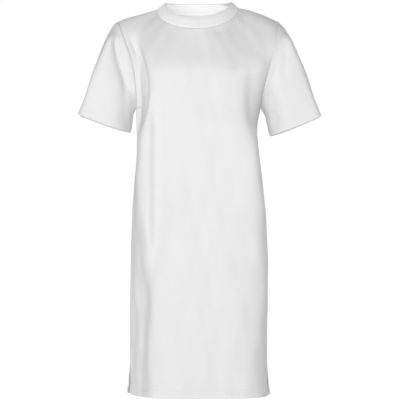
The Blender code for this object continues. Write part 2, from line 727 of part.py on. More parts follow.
def main():
    for old in list(bpy.data.objects):
        bpy.data.objects.remove(old)
    front = make_panel(-1, FRONT_FOLDS)
    back = make_panel(1, BACK_FOLDS)
    sleeve_left = make_sleeve(-1)
    sleeve_right = make_sleeve(1)
    band = Piece(band_points(), -1, True, RIB)
    sew_sides(front, back)
    sew_shoulders(front, back)
    sew_sleeve(front, back, sleeve_left, 0)
    sew_sleeve(front, back, sleeve_right, -1)
    sew_band(front, back, band)
    closed_wall(front, "front", WHITE_JERSEY)
    closed_wall(back, "back", WHITE_JERSEY)
    closed_wall(sleeve_left, "sleeve_left", WHITE_JERSEY)
    closed_wall(sleeve_right, "sleeve_right", WHITE_JERSEY)
    closed_wall(band, "neck_band", WHITE_RIB)


main()
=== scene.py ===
"""The looks of a knee-length t-shirt dress in white cotton jersey, filled out as worn.

Metres, +Z up, the front facing -Y, left and right as seen from the front. Each cut piece is a
thin closed shell on the form of its solid, with finer folds, turned hems, seams and stitches.
"""

from collections import namedtuple
import math

import bpy
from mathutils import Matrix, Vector
import numpy as np


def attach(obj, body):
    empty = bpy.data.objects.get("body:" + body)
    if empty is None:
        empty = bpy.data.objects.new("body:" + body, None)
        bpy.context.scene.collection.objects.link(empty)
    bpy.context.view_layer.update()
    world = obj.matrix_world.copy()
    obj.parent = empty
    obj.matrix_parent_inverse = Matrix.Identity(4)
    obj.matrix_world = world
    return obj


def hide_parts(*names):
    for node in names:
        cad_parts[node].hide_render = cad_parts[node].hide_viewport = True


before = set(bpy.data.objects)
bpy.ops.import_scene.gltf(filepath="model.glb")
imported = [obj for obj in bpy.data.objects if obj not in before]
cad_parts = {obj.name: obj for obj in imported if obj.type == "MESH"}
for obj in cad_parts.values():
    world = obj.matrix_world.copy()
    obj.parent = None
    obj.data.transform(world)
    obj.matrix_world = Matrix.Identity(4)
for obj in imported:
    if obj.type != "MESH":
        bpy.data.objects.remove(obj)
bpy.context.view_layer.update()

# Thicknesses: the cloth, a turned hem, the doubled neck band, and what a seam allowance adds
# over its width, at whose far side it thins out
JERSEY = 0.0011
TURNED_HEM = 0.0022
RIB = 0.0021
ALLOWANCE = 0.0012
ALLOWANCE_WIDTH = 0.007
ALLOWANCE_THINS = 0.7
HEM_DEPTH = 0.030
SLEEVE_HEM_DEPTH = 0.055
TURNED_EDGE = 0.0006

# The gap between two pieces that are sewn together, and the least that their shared wall
# direction is divided by where they meet sharply
SEAM_GAP = 0.00006
SHARPEST_SEAM = 0.45

# Heights
ARMPIT_HEIGHT = -0.262
FRONT_HEM_HEIGHT = -1.001
BACK_HEM_HEIGHT = -1.003
SIDE_HEM_HEIGHT = -1.004
LEFT_VENT_HEIGHT = -0.894
RIGHT_VENT_HEIGHT = -0.908

# How far the edges of the panels stray from the side seam's line at the foot of a vent. The
# corners at the left vent hang a little higher than those at the right.
FRONT_VENT_IN = 0.0015
BACK_VENT_OUT = 0.0055
FRONT_VENT_FORWARD = 0.0045
BACK_VENT_BACK = 0.0010
LEFT_VENT_LIFT = 0.006
VENT_REACH = 0.25

# Columns and rows of the pieces. A panel's columns are those under the neckline and those
# under each shoulder. Finer is how many of them stand for one of the solid's.
FINER = 5
NECK_COLUMNS = 14 * FINER
SHOULDER_COLUMNS = 10 * FINER
NECK_SHARE = 0.40
BODY_ROWS = 142
CHEST_ROWS = 12 * FINER
YOKE_ROW = 5 * FINER
SLEEVE_ROWS = 44
BAND_ROWS = 26
RIM_STEPS = 4
LOOP_STEPS = 60

# The rows of a turned hem, as distances from its foot: close together at the fold, and one to
# the millimetre at the two lines of stitches
HEM_ROWS = [0, 0.001, 0.0025, 0.005, 0.009, 0.014, 0.019]
HEM_ROWS += [HEM_DEPTH + 0.001 * k for k in range(-9, 4)]
SLEEVE_HEM_ROWS = [0, 0.001, 0.0025, 0.006, 0.012, 0.020, 0.028, 0.036, 0.042]
SLEEVE_HEM_ROWS += [SLEEVE_HEM_DEPTH + 0.001 * k for k in range(-9, 4)]

# The share of the chest's height over which its rows turn from a squarish arch to a rounder
# one, how flat that one is in its middle, and how sharply a yoke row bends to meet its armhole
CHEST_ROUNDING = 0.45
YOKE_FLATNESS = 5.5
ARMHOLE_PULL = 5

# The body below the armpits: half widths to each side, and depths to the front and back,
# all from the line of the side seams. A squareness of 2 is an ellipse. The sides of the front
# lean in by a share of the half width on their way to the plane of the front.
Section = namedtuple(
    "Section",
    "height left right front back left_square right_square back_square left_lean right_lean",
)
SECTIONS = [
    Section(-0.262, 0.163, 0.160, 0.143, 0.112, 6.0, 4.6, 2.25, 0.10, 0.10),
    Section(-0.300, 0.163, 0.153, 0.143, 0.109, 6.5, 6.0, 2.30, 0.06, 0.06),
    Section(-0.370, 0.161, 0.153, 0.138, 0.104, 7.0, 8.5, 2.40, 0.03, 0.00),
    Section(-0.450, 0.168, 0.163, 0.132, 0.103, 6.0, 8.0, 2.50, 0.06, 0.00),
    Section(-0.550, 0.174, 0.173, 0.128, 0.112, 5.5, 5.0, 2.60, 0.13, 0.00),
    Section(-0.640, 0.177, 0.178, 0.128, 0.120, 6.0, 4.5, 2.65, 0.22, 0.00),
    Section(-0.780, 0.179, 0.178, 0.129, 0.123, 6.5, 4.1, 2.70, 0.30, 0.02),
    Section(-0.900, 0.179, 0.177, 0.130, 0.124, 6.5, 3.8, 2.75, 0.31, 0.04),
    Section(-1.010, 0.180, 0.177, 0.131, 0.126, 6.5, 3.8, 2.80, 0.30, 0.04),
]

# The middle of the chest and of the upper back, from the armpits' height up to the neckline
Middle = namedtuple("Middle", "share front back")
MIDDLES = [
    Middle(0.00, 0.143, 0.112),
    Middle(0.25, 0.1425, 0.116),
    Middle(0.50, 0.1390, 0.115),
    Middle(0.75, 0.1200, 0.105),
    Middle(1.00, 0.0970, 0.080),
]

# How steeply a panel reaches its top edge: at the middle of each neckline, beside the neck,
# and over the shoulders. Inward is towards the neck, or over a shoulder towards its seam.
# The neckline's slope gives way to the shoulder's between the last two shares of a row.
Rise = namedtuple("Rise", "inward upward")
FRONT_NECK_RISE = Rise(0.055, 0.115)
BACK_NECK_RISE = Rise(0.055, 0.135)
BESIDE_NECK_RISE = Rise(0.075, 0.032)
SHOULDER_RISE = Rise(0.150, 0.025)
CORNER_SPREAD = (0.05, 1.00)

# The shoulder seam from the neckline out to the sleeve, as heights on each side
Shoulder = namedtuple("Shoulder", "share left right")
SHOULDERS = [
    Shoulder(0.00, -0.003, 0.000),
    Shoulder(0.25, -0.0112, -0.005),
    Shoulder(0.50, -0.0185, -0.0135),
    Shoulder(0.75, -0.0255, -0.0240),
    Shoulder(1.00, -0.0360, -0.0360),
]

# The armhole seam from the shoulder down to the armpit. Left and right are distances from
# the middle, the others are depths from the shoulder's line: on the front, where the seam lies
# in a hollow between the chest and each sleeve, and on the back.
Armhole = namedtuple("Armhole", "height left right left_front right_front back")
ARMHOLES = [
    Armhole(-0.036, 0.2100, 0.2060, 0.000, 0.000, 0.000),
    Armhole(-0.042, 0.2075, 0.2050, 0.022, 0.024, 0.020),
    Armhole(-0.058, 0.2020, 0.2020, 0.043, 0.049, 0.039),
    Armhole(-0.085, 0.1910, 0.1970, 0.058, 0.074, 0.058),
    Armhole(-0.120, 0.1780, 0.1900, 0.060, 0.088, 0.074),
    Armhole(-0.160, 0.1690, 0.1800, 0.052, 0.087, 0.083),
    Armhole(-0.205, 0.1640, 0.1680, 0.040, 0.066, 0.078),
    Armhole(-0.242, 0.1620, 0.1615, 0.019, 0.034, 0.048),
    Armhole(-0.262, 0.1630, 0.1600, 0.000, 0.000, 0.000),
]

# The two edges of the neck band: its seam on the body, and its folded top
Ring = namedtuple(
    "Ring",
    "left right front back left_height right_height front_height back_height"
    " left_squareness right_squareness",
)
NECK_SEAM = Ring(0.108, 0.102, 0.097, 0.080, -0.003, 0.000, -0.0615, -0.012, 2.2, 1.9)
NECK_TOP = Ring(0.087, 0.085, 0.086, 0.070, 0.0138, 0.0160, -0.0320, 0.0160, 2.3, 1.7)
BAND_BULGE = 0.0018

# A sleeve's hem: its innermost and outermost points, its depth from front to back, and how
# far its front and back bow down between those points
SleeveHem = namedtuple(
    "SleeveHem", "inner_across inner_height outer_across outer_height depth bow"
)
LEFT_HEM = SleeveHem(0.180, -0.323, 0.309, -0.2775, 0.138, 0.003)
RIGHT_HEM = SleeveHem(0.186, -0.332, 0.3135, -0.2810, 0.138, 0.0035)
SLEEVE_HEM_SHIFT = 0.004

# How a sleeve leaves its armhole, at the armpit and over each shoulder: the way it sets off,
# and how strongly it keeps to that way and to the one in which it comes to its hem
Leaving = namedtuple("Leaving", "out down reach arrival")
UNDER_ARM = Leaving(0.62, 0.78, 1.0, 1.0)
OVER_LEFT_SHOULDER = Leaving(0.906, 0.423, 0.475, 0.4)
OVER_RIGHT_SHOULDER = Leaving(0.82, 0.574, 0.60, 0.4)
LEAVING_DEPTH = 0.60

# A sleeve is flat in front and turns back tightly at its outer side, more softly at its inner.
# It is as square as its hem from this share of its length on.
SLEEVE_OUTER_SQUARENESS = 9.0
SLEEVE_INNER_SQUARENESS = 2.1
SLEEVE_SQUARE_BY = 0.27

# Creases, as seen from a piece's own side of the dress. Each follows a path of points, across
# and up, and is a soft trough, or a ridge where its depth is below zero, with its own softness
# to the left and to the right of the path.
Crease = namedtuple("Crease", "left_width right_width depth path")
FRONT_CREASES = [
    # The drape from the left armpit, crisp on the side of the chest
    Crease(0.0200, 0.0075, 0.0260, [
        (-0.176, -0.060), (-0.1640, -0.100), (-0.1540, -0.135), (-0.1460, -0.170),
        (-0.1415, -0.205), (-0.1415, -0.240), (-0.1470, -0.275), (-0.155, -0.310),
        (-0.162, -0.355)]),
    # The drape from the right armpit, slanting to the side seam
    Crease(0.0110, 0.0130, 0.0085, [
        (0.141, -0.135), (0.134, -0.180), (0.1325, -0.220), (0.136, -0.262),
        (0.142, -0.300), (0.148, -0.340)]),
    # The right of the yoke, drawn flat from the neck to the armhole
    Crease(0.0400, 0.0130, 0.0046, [
        (0.058, 0.010), (0.0743, -0.028), (0.0948, -0.064), (0.1152, -0.095),
        (0.1357, -0.120), (0.1485, -0.146), (0.152, -0.170)]),
    Crease(0.0130, 0.0300, -0.0046, [
        (0.094, 0.022), (0.1101, -0.018), (0.128, -0.051), (0.1485, -0.0845),
        (0.1664, -0.110), (0.1767, -0.136), (0.180, -0.160)]),
    # Long soft falls down the left of the front
    Crease(0.010, 0.028, 0.0200, [(-0.110, -0.180), (-0.110, -0.430), (-0.1145, -0.740)]),
    Crease(0.018, 0.020, -0.0030, [(-0.076, -0.170), (-0.072, -0.400), (-0.066, -0.690)]),
    Crease(0.016, 0.014, 0.0068, [(-0.142, -0.520), (-0.141, -0.690), (-0.139, -0.860)]),
    Crease(0.010, 0.010, 0.0095, [(-0.147, -0.640), (-0.146, -0.900), (-0.145, -1.100)]),
    Crease(0.005, 0.006, -0.0022, [(-0.158, -0.770), (-0.158, -0.900), (-0.157, -1.060)]),
    # Faint falls on the right
    Crease(0.016, 0.012, 0.0020, [(0.040, -0.800), (0.043, -0.900), (0.043, -1.080)]),
    Crease(0.012, 0.016, -0.0018, [(0.072, -0.800), (0.074, -0.900), (0.075, -1.080)]),
    Crease(0.022, 0.020, 0.0022, [(0.128, -0.480), (0.130, -0.660), (0.126, -0.900)]),
    # The break of the chest, and pulls below it
    Crease(0.012, 0.016, -0.0016, [(-0.110, -0.150), (0.000, -0.158), (0.110, -0.150)]),
    Crease(0.010, 0.010, 0.0012, [(-0.020, -0.330), (-0.036, -0.410), (-0.040, -0.520)]),
]
BACK_CREASES = [
    # The drapes from both armpits
    Crease(0.012, 0.009, 0.0105, [
        (-0.166, -0.120), (-0.152, -0.175), (-0.146, -0.230), (-0.151, -0.300),
        (-0.158, -0.360)]),
    Crease(0.009, 0.012, 0.0100, [
        (0.168, -0.125), (0.152, -0.180), (0.146, -0.235), (0.150, -0.290), (0.157, -0.340)]),
    # The small of the back, where the cloth falls free
    Crease(0.020, 0.024, 0.0052, [(0.016, -0.270), (0.008, -0.430), (0.004, -0.690)]),
    Crease(0.018, 0.016, -0.0030, [(0.062, -0.300), (0.052, -0.460), (0.048, -0.640)]),
    Crease(0.017, 0.019, 0.0054, [(-0.100, -0.390), (-0.110, -0.620), (-0.112, -0.930)]),
    Crease(0.016, 0.018, 0.0062, [(0.124, -0.480), (0.121, -0.700), (0.118, -1.090)]),
    Crease(0.012, 0.012, -0.0026, [(-0.060, -0.560), (-0.056, -0.760), (-0.060, -1.080)]),
    Crease(0.011, 0.014, 0.0024, [(-0.020, -0.700), (-0.016, -0.860), (-0.020, -1.090)]),
    # A slack crosswise fold at the waist
    Crease(0.010, 0.014, 0.0020, [(-0.085, -0.395), (-0.020, -0.412), (0.060, -0.400)]),
]
LEFT_SLEEVE_CREASES = [
    # The cap puffs out beside its seam, and a trough runs down behind the puff
    Crease(0.0085, 0.0070, -0.0030, [
        (-0.203, -0.050), (-0.194, -0.088), (-0.184, -0.120), (-0.176, -0.150)]),
    Crease(0.0110, 0.0062, 0.0165, [
        (-0.2120, -0.045), (-0.2085, -0.080), (-0.2050, -0.110), (-0.1995, -0.145),
        (-0.1885, -0.176), (-0.1785, -0.206), (-0.172, -0.250)]),
    Crease(0.013, 0.0070, 0.0052, [(-0.190, -0.180), (-0.186, -0.250), (-0.192, -0.330)]),
    Crease(0.016, 0.014, -0.0030, [(-0.236, -0.130), (-0.240, -0.200), (-0.248, -0.290)]),
]
RIGHT_SLEEVE_CREASES = [
    Crease(0.0065, 0.0090, -0.0046, [
        (0.206, -0.068), (0.206, -0.105), (0.202, -0.150), (0.193, -0.200)]),
    Crease(0.0060, 0.0060, 0.0026, [(0.218, -0.074), (0.220, -0.110), (0.219, -0.150)]),
    Crease(0.0070, 0.012, 0.0048, [(0.182, -0.215), (0.190, -0.270), (0.199, -0.330)]),
    Crease(0.016, 0.018, -0.0028, [(0.238, -0.130), (0.246, -0.200), (0.256, -0.290)]),
]
LEFT_SLEEVE_BACK_CREASES = [
    Crease(0.0090, 0.0070, -0.0044, [
        (-0.205, -0.070), (-0.198, -0.100), (-0.190, -0.140), (-0.183, -0.175)]),
    Crease(0.010, 0.010, 0.0054, [
        (-0.224, -0.080), (-0.214, -0.125), (-0.205, -0.170), (-0.200, -0.230)]),
    Crease(0.013, 0.010, 0.0040, [(-0.245, -0.130), (-0.238, -0.210), (-0.236, -0.310)]),
]
RIGHT_SLEEVE_BACK_CREASES = [
    Crease(0.0070, 0.0090, -0.0044, [
        (0.203, -0.070), (0.203, -0.105), (0.199, -0.145), (0.193, -0.180)]),
    Crease(0.010, 0.010, 0.0052, [
        (0.226, -0.080), (0.220, -0.130), (0.212, -0.180), (0.208, -0.240)]),
    Crease(0.012, 0.012, 0.0042, [(0.250, -0.130), (0.246, -0.210), (0.246, -0.310)]),
]
PATH_POINTS = 60
PATH_STEPS = 8
CREASE_FADE = 0.30

# How far from a sewn edge a panel's creases reach their full depth, and how much they press
# straight back, against 1 that they press square to the cloth
SEWN_WIDTH = 0.015
STRAIGHT_BACK = 1.0

# Where a sleeve's front creases give way to its back ones, to each side of its middle, how far
# from its seam they have their full depth, and its share of the cloth's waver
SLEEVE_TURN = 0.012
SLEEVE_SEWN_WIDTH = 0.0075
SLEEVE_WAVER = 0.7

# A slow waver of the whole cloth: across and up, waves to the metre, then a phase and a height.
# Across is the turn round the body, measured at this radius and a little behind the seams.
Waver = namedtuple("Waver", "across up phase height")
WAVERS = [
    Waver(9.0, 2.3, 0.4, 0.0009),
    Waver(15.0, -3.9, 2.1, 0.0006),
    Waver(4.0, 8.5, 4.4, 0.0006),
    Waver(22.0, 6.0, 1.3, 0.0003),
]
WAVER_RADIUS = 0.2
WAVER_BEHIND = 0.02

# How the outer skin dips into a seam, and how far that reaches. Along an armhole the cloth also
# sinks more widely, from the armpit up, as far as the shoulder.
SEAM_DIP = 0.0003
SEAM_DIP_WIDTH = 0.0016
SEAM_BELOW_END = 0.004
SEAM_ABOVE_END = 0.010
ARMHOLE_DIP = 0.0008
ARMHOLE_DIP_WIDTH = 0.0100
ARMPIT_ROWS = 16
SHOULDER_FADE = 0.03

# How the cloth dips along a line of stitches, and how a hem flares and puckers beside one
Pucker = namedtuple("Pucker", "share per_metre phase")
STITCH_DIP = 0.00080
STITCH_DIP_WIDTH = 0.0012
HEM_FLARE = 0.0024
HEM_PUCKER = 0.00022
PUCKER_WIDTH = 0.006
PUCKERS = [Pucker(1.0, 62.0, 0.0), Pucker(0.6, 22.94, 1.0)]

# Lines pressed into the neck band, as shares of its height
PRESSED_LINES = (0.30, 0.42, 0.54)
PRESSED_DIP = 0.0006

# Stitches: their pitch, their length, half the thickness of the thread, how much they thin at
# their ends, and how high they stand. Then how far each line lies from its edge: on a hem from
# the edge that is turned in, where there are two, beside the neck and beside a vent.
STITCH_PITCH = 0.0031
STITCH_LENGTH = 0.0024
THREAD = 0.00042
STITCH_THINS = 0.93
STITCH_STANDS = 0.35
STITCH_SIDES = 6
STITCH_RINGS = 5
HEM_STITCHES_IN = (0.004, 0.008)
NECK_STITCHES_IN = 0.0022
VENT_STITCHES_IN = 0.007
VENT_STITCHES_PAST = 0.004
CORNER_POINTS = 3

# Knit: how wide and how high one stitch of the jersey is, and a rib of the band. The legs of a
# stitch slant on its face, and it arcs on the inside.
WALE = 0.00105
COURSE = 0.00080
RIB_PITCH = 0.0021
LEG_SLANT = 1.5
LOOP_RELIEF = 0.25
ARC_HEIGHT = 0.22
RIB_LOOPS = 0.35

# Painted light, given as emission that stands in for light coming through the cloth: a glow
# inside the neck band, and inside the cloth down to this depth below the top. The band stands
# up at the sides of the neck, and its outer side glows faintly there, fully this far out.
INSIDE_PAINTED_GLOW = 0.50
PAINTED_GLOW_DEPTH = 0.10
BAND_GLOW_REACH = 0.095
BAND_PAINTED_GLOW = 0.10
# Painted shade: a dark patch in the glow inside the band, where it turns at the right: its
# place along the band's cut, and its width
PAINTED_SHADE_TURN = 0.325
PAINTED_SHADE_TURN_WIDTH = 0.045

WHITE_FACE = (0.800, 0.800, 0.797, 1.0)
WHITE_SHADE = (0.770, 0.771, 0.770, 1.0)
WHITE_RIB = (0.845, 0.845, 0.842, 1.0)
WHITE_THREAD = (0.86, 0.86, 0.855, 1.0)
DARK = (0.0, 0.0, 0.0, 1.0)
FLOOR_WHITE = (0.82, 0.82, 0.82, 1.0)
WHITE_LIGHT = (1.0, 1.0, 1.0, 1.0)

# The surface of each cotton: two shades and the size of the clouds that mix them, the size and
# detail of its fibre, its sheen, its roughness and how much the fibre adds to that, then the
# depth and strength of its relief, and the fibre's part in it. Sizes are clouds to the metre.
Cotton = namedtuple(
    "Cotton",
    "shade light clouds fibres detail sheen roughness spread depth strength fibre_relief",
)
FACE = Cotton(WHITE_SHADE, WHITE_FACE, 14, 1500, 3, 0.06, 0.82, 0.12, 0.00022, 0.65, 0.5)
INSIDE = Cotton(WHITE_SHADE, WHITE_FACE, 11, 1300, 3, 0.06, 0.85, 0.10, 0.00022, 0.60, 0.5)
RIB_KNIT = Cotton(WHITE_FACE, WHITE_RIB, 1400, 1400, 3, 0.06, 0.84, 0.10, 0.00030, 0.60, 0.4)
TWIST = Cotton(WHITE_FACE, WHITE_THREAD, 2600, 2600, 2, 0.04, 0.55, 0.15, 0.00010, 0.50, 1.0)
COTTON_SPECULAR = 0.30
SHEEN_ROUGHNESS = 0.55

# The camera stands level before the dress
CAMERA_DISTANCE = 5.0
CAMERA_ACROSS = 0.0026
CAMERA_HEIGHT = -0.4992
VIEW_WIDTH = 1.04
SENSOR = 36.0
FARTHEST = 100

# White surroundings, brighter to the camera than as a light, where they dim towards the top
BACKDROP_LIGHT = 1.02
AROUND_LIGHT = 0.65
OVERHEAD_LIGHT = 0.42
Light = namedtuple("Light", "name place size power")
LIGHTS = [
    Light("front_light", (-0.75, -4.0, -0.75), 2.6, 98),
    Light("back_light", (1.2, 4.2, 0.2), 3.0, 70),
]
LIGHTS_AIM = (0, 0, -0.5)
FLOOR_HEIGHT = -1.46
FLOOR_RADIUS = 3.6
FLOOR_FADE = 1.6
FLOOR_ROUGHNESS = 0.9
FLOOR_STEPS = 96
FLOOR_RINGS = 8


def unit(vectors):
    """The vectors at length one."""
    return vectors / np.maximum(np.linalg.norm(vectors, axis=-1, keepdims=True), 1e-12)


def between(start, end, leaving, arriving, t):
    """A cubic from start, 0, to end, 1, with the slopes at which it leaves and arrives."""
    return (
        start * (1 + 2 * t) * (1 - t) ** 2
        + end * t * t * (3 - 2 * t)
        + leaving * t * (1 - t) ** 2
        + arriving * t * t * (t - 1)
    )


def smooth(knots, values, at):
    """A curve through a table's column: cubic between its rows, with no kink at a row."""
    knots = np.asarray(knots, float)
    values = np.asarray(values, float)
    slopes = np.gradient(values, knots)
    at = np.clip(at, knots[0], knots[-1])
    i = np.clip(np.searchsorted(knots, at, side="right") - 1, 0, len(knots) - 2)
    span = knots[i + 1] - knots[i]
    leaving, arriving = slopes[i] * span, slopes[i + 1] * span
    return between(values[i], values[i + 1], leaving, arriving, (at - knots[i]) / span)


def walked(line):
    """How far along a line each of its points lies."""
    return np.concatenate([[0], np.cumsum(np.linalg.norm(np.diff(line, axis=0), axis=1))])


def read(places, along, values):
    """Values given along a line, read at other places on it."""
    return np.stack([np.interp(places, along, column) for column in values.T], axis=1)


def ramp(value, start, end):
    """Rises softly from 0 at start to 1 at end."""
    t = np.clip((value - start) / (end - start), 0.0, 1.0)
    return t * t * (3 - 2 * t)


def bell(distance, width):
    """1 on a line, fading softly to 0 beside it."""
    return np.exp(-((distance / width) ** 2) / 2)


def superellipse(angle, squareness, lean):
    """The two coordinates of a rounded quarter turn, both from 0 to 1.

    Lean is how far the side leans in as it comes to the front, as a share of the half width.
    """
    across, ahead = np.sin(angle), np.cos(angle)
    side = np.abs(across) + lean * np.abs(ahead)
    reach = (side**squareness + np.abs(ahead) ** squareness) ** (-1 / squareness)
    return across * reach, ahead * reach


def closed_curve(knots, turn, count):
    """Points on a smooth loop through the knots: count of them, evenly, from the first knot to
    the one numbered turn, and as many on the way back."""
    knots = np.asarray(knots, float)
    size = len(knots)
    t = np.linspace(0, size, LOOP_STEPS * size, endpoint=False)
    i = t.astype(int)
    before, start, end, after = (knots[(i + k) % size] for k in (-1, 0, 1, 2))
    dense = between(start, end, (end - before) / 2, (after - start) / 2, (t - i)[:, None])
    dense = np.vstack([dense, dense[:1]])
    along = walked(dense)
    reached = along[LOOP_STEPS * turn]
    there = np.linspace(0, reached, count, endpoint=False)
    back = np.linspace(reached, along[-1], count, endpoint=False)
    return read(np.concatenate([there, back]), along, dense)


def armhole_loop(side):
    """Points round an armhole: armpit, front, shoulder, back. Side is -1 left, 1 right."""
    front = []
    back = []
    for row in ARMHOLES:
        if side < 0:
            front.insert(0, (-row.left, -row.left_front, row.height))
        else:
            front.insert(0, (row.right, -row.right_front, row.height))
        back.append((front[0][0], row.back, row.height))
    return closed_curve(front + back[1:-1], len(front) - 1, CHEST_ROWS)


def neck_ring(ring, angle):
    """Points of one edge of the neck band. Angle 0 is the middle of the front."""
    across, ahead = np.sin(angle), np.cos(angle)
    is_left = across < 0
    half = np.where(is_left, ring.left, ring.right)
    side_height = np.where(is_left, ring.left_height, ring.right_height)
    square = np.where(is_left, ring.left_squareness, ring.right_squareness)
    share = np.maximum(1 - np.abs(across) ** square, 0.0) ** (1 / square)
    middle = np.where(ahead > 0, ring.front_height, ring.back_height)
    depth = -np.where(ahead > 0, ring.front, ring.back) * ahead
    return np.stack(
        [half * across, depth, side_height + (middle - side_height) * share], axis=-1
    )


def column_places():
    """Where a panel's columns lie, from -1 at the left edge to 1 at the right."""
    left = np.linspace(-1, -NECK_SHARE, SHOULDER_COLUMNS, endpoint=False)
    neck = np.linspace(-NECK_SHARE, NECK_SHARE, NECK_COLUMNS + 1)
    return np.concatenate([left, neck, -left[::-1]])


def body_heights():
    """The heights of a panel's rows from the hem up to the armpits, as shares."""
    hem = np.array(HEM_ROWS) / (ARMPIT_HEIGHT - SIDE_HEM_HEIGHT)
    return np.concatenate([hem, np.linspace(hem[-1], 1, BODY_ROWS - len(hem) + 1)[1:]])


def top_edge(columns, facing):
    """A panel's top edge: shoulder, neckline, shoulder. Facing is -1 front, 1 back."""
    inside = np.clip(columns / NECK_SHARE, -1, 1) * math.pi / 2
    angle = inside if facing < 0 else math.pi - inside
    neckline = neck_ring(NECK_SEAM, angle)
    share = np.clip((np.abs(columns) - NECK_SHARE) / (1 - NECK_SHARE), 0, 1)
    knots = [row.share for row in SHOULDERS]
    is_left = columns < 0
    height = np.where(
        is_left,
        smooth(knots, [row.left for row in SHOULDERS], share),
        smooth(knots, [row.right for row in SHOULDERS], share),
    )
    start = np.where(is_left, NECK_SEAM.left, NECK_SEAM.right)
    end = np.where(is_left, ARMHOLES[0].left, ARMHOLES[0].right)
    across = np.sign(columns) * (start + (end - start) * share)
    shoulder = np.stack([across, np.zeros_like(across), height], axis=-1)
    return np.where((np.abs(columns) > NECK_SHARE)[:, None], shoulder, neckline)


def arch(columns, left, right, middle, squareness, lean, roundness):
    """One row across a panel, from its left end over its middle to its right end."""
    angle = np.abs(columns) * math.pi / 2
    across, ahead = superellipse(angle, squareness, lean)
    ahead = ahead * (1 - roundness) + (1 - across**YOKE_FLATNESS) * roundness
    end = np.where((columns < 0)[:, None], left, right)
    points = end + (middle - end) * ahead[:, None]
    points[:, 0] = end[:, 0] * across
    return points


def section_at(height):
    """The body's section at a height, between the rows of its table."""
    rows = SECTIONS[::-1]
    heights = [row.height for row in rows]
    columns = [[getattr(row, name) for row in rows] for name in Section._fields[1:]]
    return Section(height, *(float(smooth(heights, column, height)) for column in columns))


def corners(columns, section, facing):
    """How square a row's corners are, and how far its sides lean in."""
    if facing > 0:
        return section.back_square, 0.0
    is_left = columns < 0
    square = np.where(is_left, section.left_square, section.right_square)
    return square, np.maximum(np.where(is_left, section.left_lean, section.right_lean), 0)


def body_row(columns, share, facing):
    """A row below the armpits."""
    side = SIDE_HEM_HEIGHT + (ARMPIT_HEIGHT - SIDE_HEM_HEIGHT) * share
    hem = FRONT_HEM_HEIGHT if facing < 0 else BACK_HEM_HEIGHT
    centre = hem + (ARMPIT_HEIGHT - hem) * share
    section = section_at(side)
    left = np.array([-section.left, 0, side])
    right = np.array([section.right, 0, side])
    middle = np.array([0, -section.front if facing < 0 else section.back, centre])
    points = arch(columns, left, right, middle, *corners(columns, section, facing), 0.0)
    return points + vent(columns, side, facing)


def vent(columns, height, facing):
    """How far a panel's free edge strays from the seam's line, below the top of its vent."""
    near = np.clip((np.abs(columns) - 1 + VENT_REACH) / VENT_REACH, 0, 1) ** 2
    top = np.where(columns < 0, LEFT_VENT_HEIGHT, RIGHT_VENT_HEIGHT)
    open_share = near * ramp(height, top, SIDE_HEM_HEIGHT)
    across = -FRONT_VENT_IN if facing < 0 else BACK_VENT_OUT
    depth = -FRONT_VENT_FORWARD if facing < 0 else BACK_VENT_BACK
    shift = np.zeros((len(columns), 3))
    shift[:, 0] = np.sign(columns) * across * open_share
    shift[:, 1] = depth * open_share
    shift[:, 2] = np.where(columns < 0, LEFT_VENT_LIFT * open_share, 0)
    return shift


def chest_row(columns, share, left, right, facing):
    """A row above the armpits, whose ends lie on the armholes."""
    top = NECK_SEAM.front_height if facing < 0 else NECK_SEAM.back_height
    shares = [row.share for row in MIDDLES]
    name = "front" if facing < 0 else "back"
    depth = float(smooth(shares, [getattr(row, name) for row in MIDDLES], share))
    middle = np.array([0, facing * depth, ARMPIT_HEIGHT + (top - ARMPIT_HEIGHT) * share])
    roundness = ramp(share, 0.0, CHEST_ROUNDING)
    return arch(columns, left, right, middle, *corners(columns, SECTIONS[0], facing), roundness)


def panel_points(facing):
    """The outer skin of the front, -1, or the back, 1, as rows from the hem upwards."""
    columns = column_places()
    loops = [armhole_loop(side) for side in (-1, 1)]
    if facing > 0:
        loops = [np.roll(loop[::-1], 1, axis=0) for loop in loops]
    rows = [body_row(columns, share, facing) for share in body_heights()]
    for j in range(1, YOKE_ROW + 1):
        rows.append(chest_row(columns, j / CHEST_ROWS, loops[0][j], loops[1][j], facing))
    return np.array(rows + yoke_rows(columns, rows[-2:], loops, facing))


def neck_ending(columns, facing):
    """The slope at which a panel's columns reach its neckline, square to the neckline."""
    middle = FRONT_NECK_RISE if facing < 0 else BACK_NECK_RISE
    angle = np.clip(columns / NECK_SHARE, -1, 1) * math.pi / 2
    beside = np.sin(angle) ** 2
    inward = middle.inward + (BESIDE_NECK_RISE.inward - middle.inward) * beside
    upward = middle.upward + (BESIDE_NECK_RISE.upward - middle.upward) * beside
    across, ahead = -np.sin(angle) * inward, -facing * np.cos(angle) * inward
    return np.stack([across, ahead, upward], axis=-1)


def yoke_rows(columns, last, loops, facing):
    """The rows that round over the shoulders, from the chest up to the panel's top edge."""
    count = CHEST_ROWS - YOKE_ROW
    start = last[1]
    rising = (last[1] - last[0]) * count
    over = ramp(np.abs(columns), *CORNER_SPREAD)[:, None]
    shoulder_end = np.array([0, -facing * SHOULDER_RISE.inward, SHOULDER_RISE.upward])
    ending = neck_ending(columns, facing) * (1 - over) + shoulder_end * over
    edge = top_edge(columns, facing)
    near_end = np.abs(columns)[:, None] ** ARMHOLE_PULL
    rows = []
    for j in range(CHEST_ROWS, YOKE_ROW, -1):
        row = between(start, edge, rising, ending, (j - YOKE_ROW) / count)
        seam = np.where((columns < 0)[:, None], loops[0][j] - row[0], loops[1][j] - row[-1])
        rows.append(row + seam * near_end)
        # Lower rows feel less and less of the corner between neckline and shoulder.
        for _ in range(FINER):
            edge[1:-1] = (edge[:-2] + 2 * edge[1:-1] + edge[2:]) / 4
    return rows[::-1]


def normals(points, facing, closed):
    """Unit normals of a grid of points, on its outer side."""
    if closed:
        across = np.roll(points, -1, axis=1) - np.roll(points, 1, axis=1)
    else:
        across = np.gradient(points, axis=1)
    up = np.gradient(points, axis=0)
    return unit(-facing * np.cross(across, up))


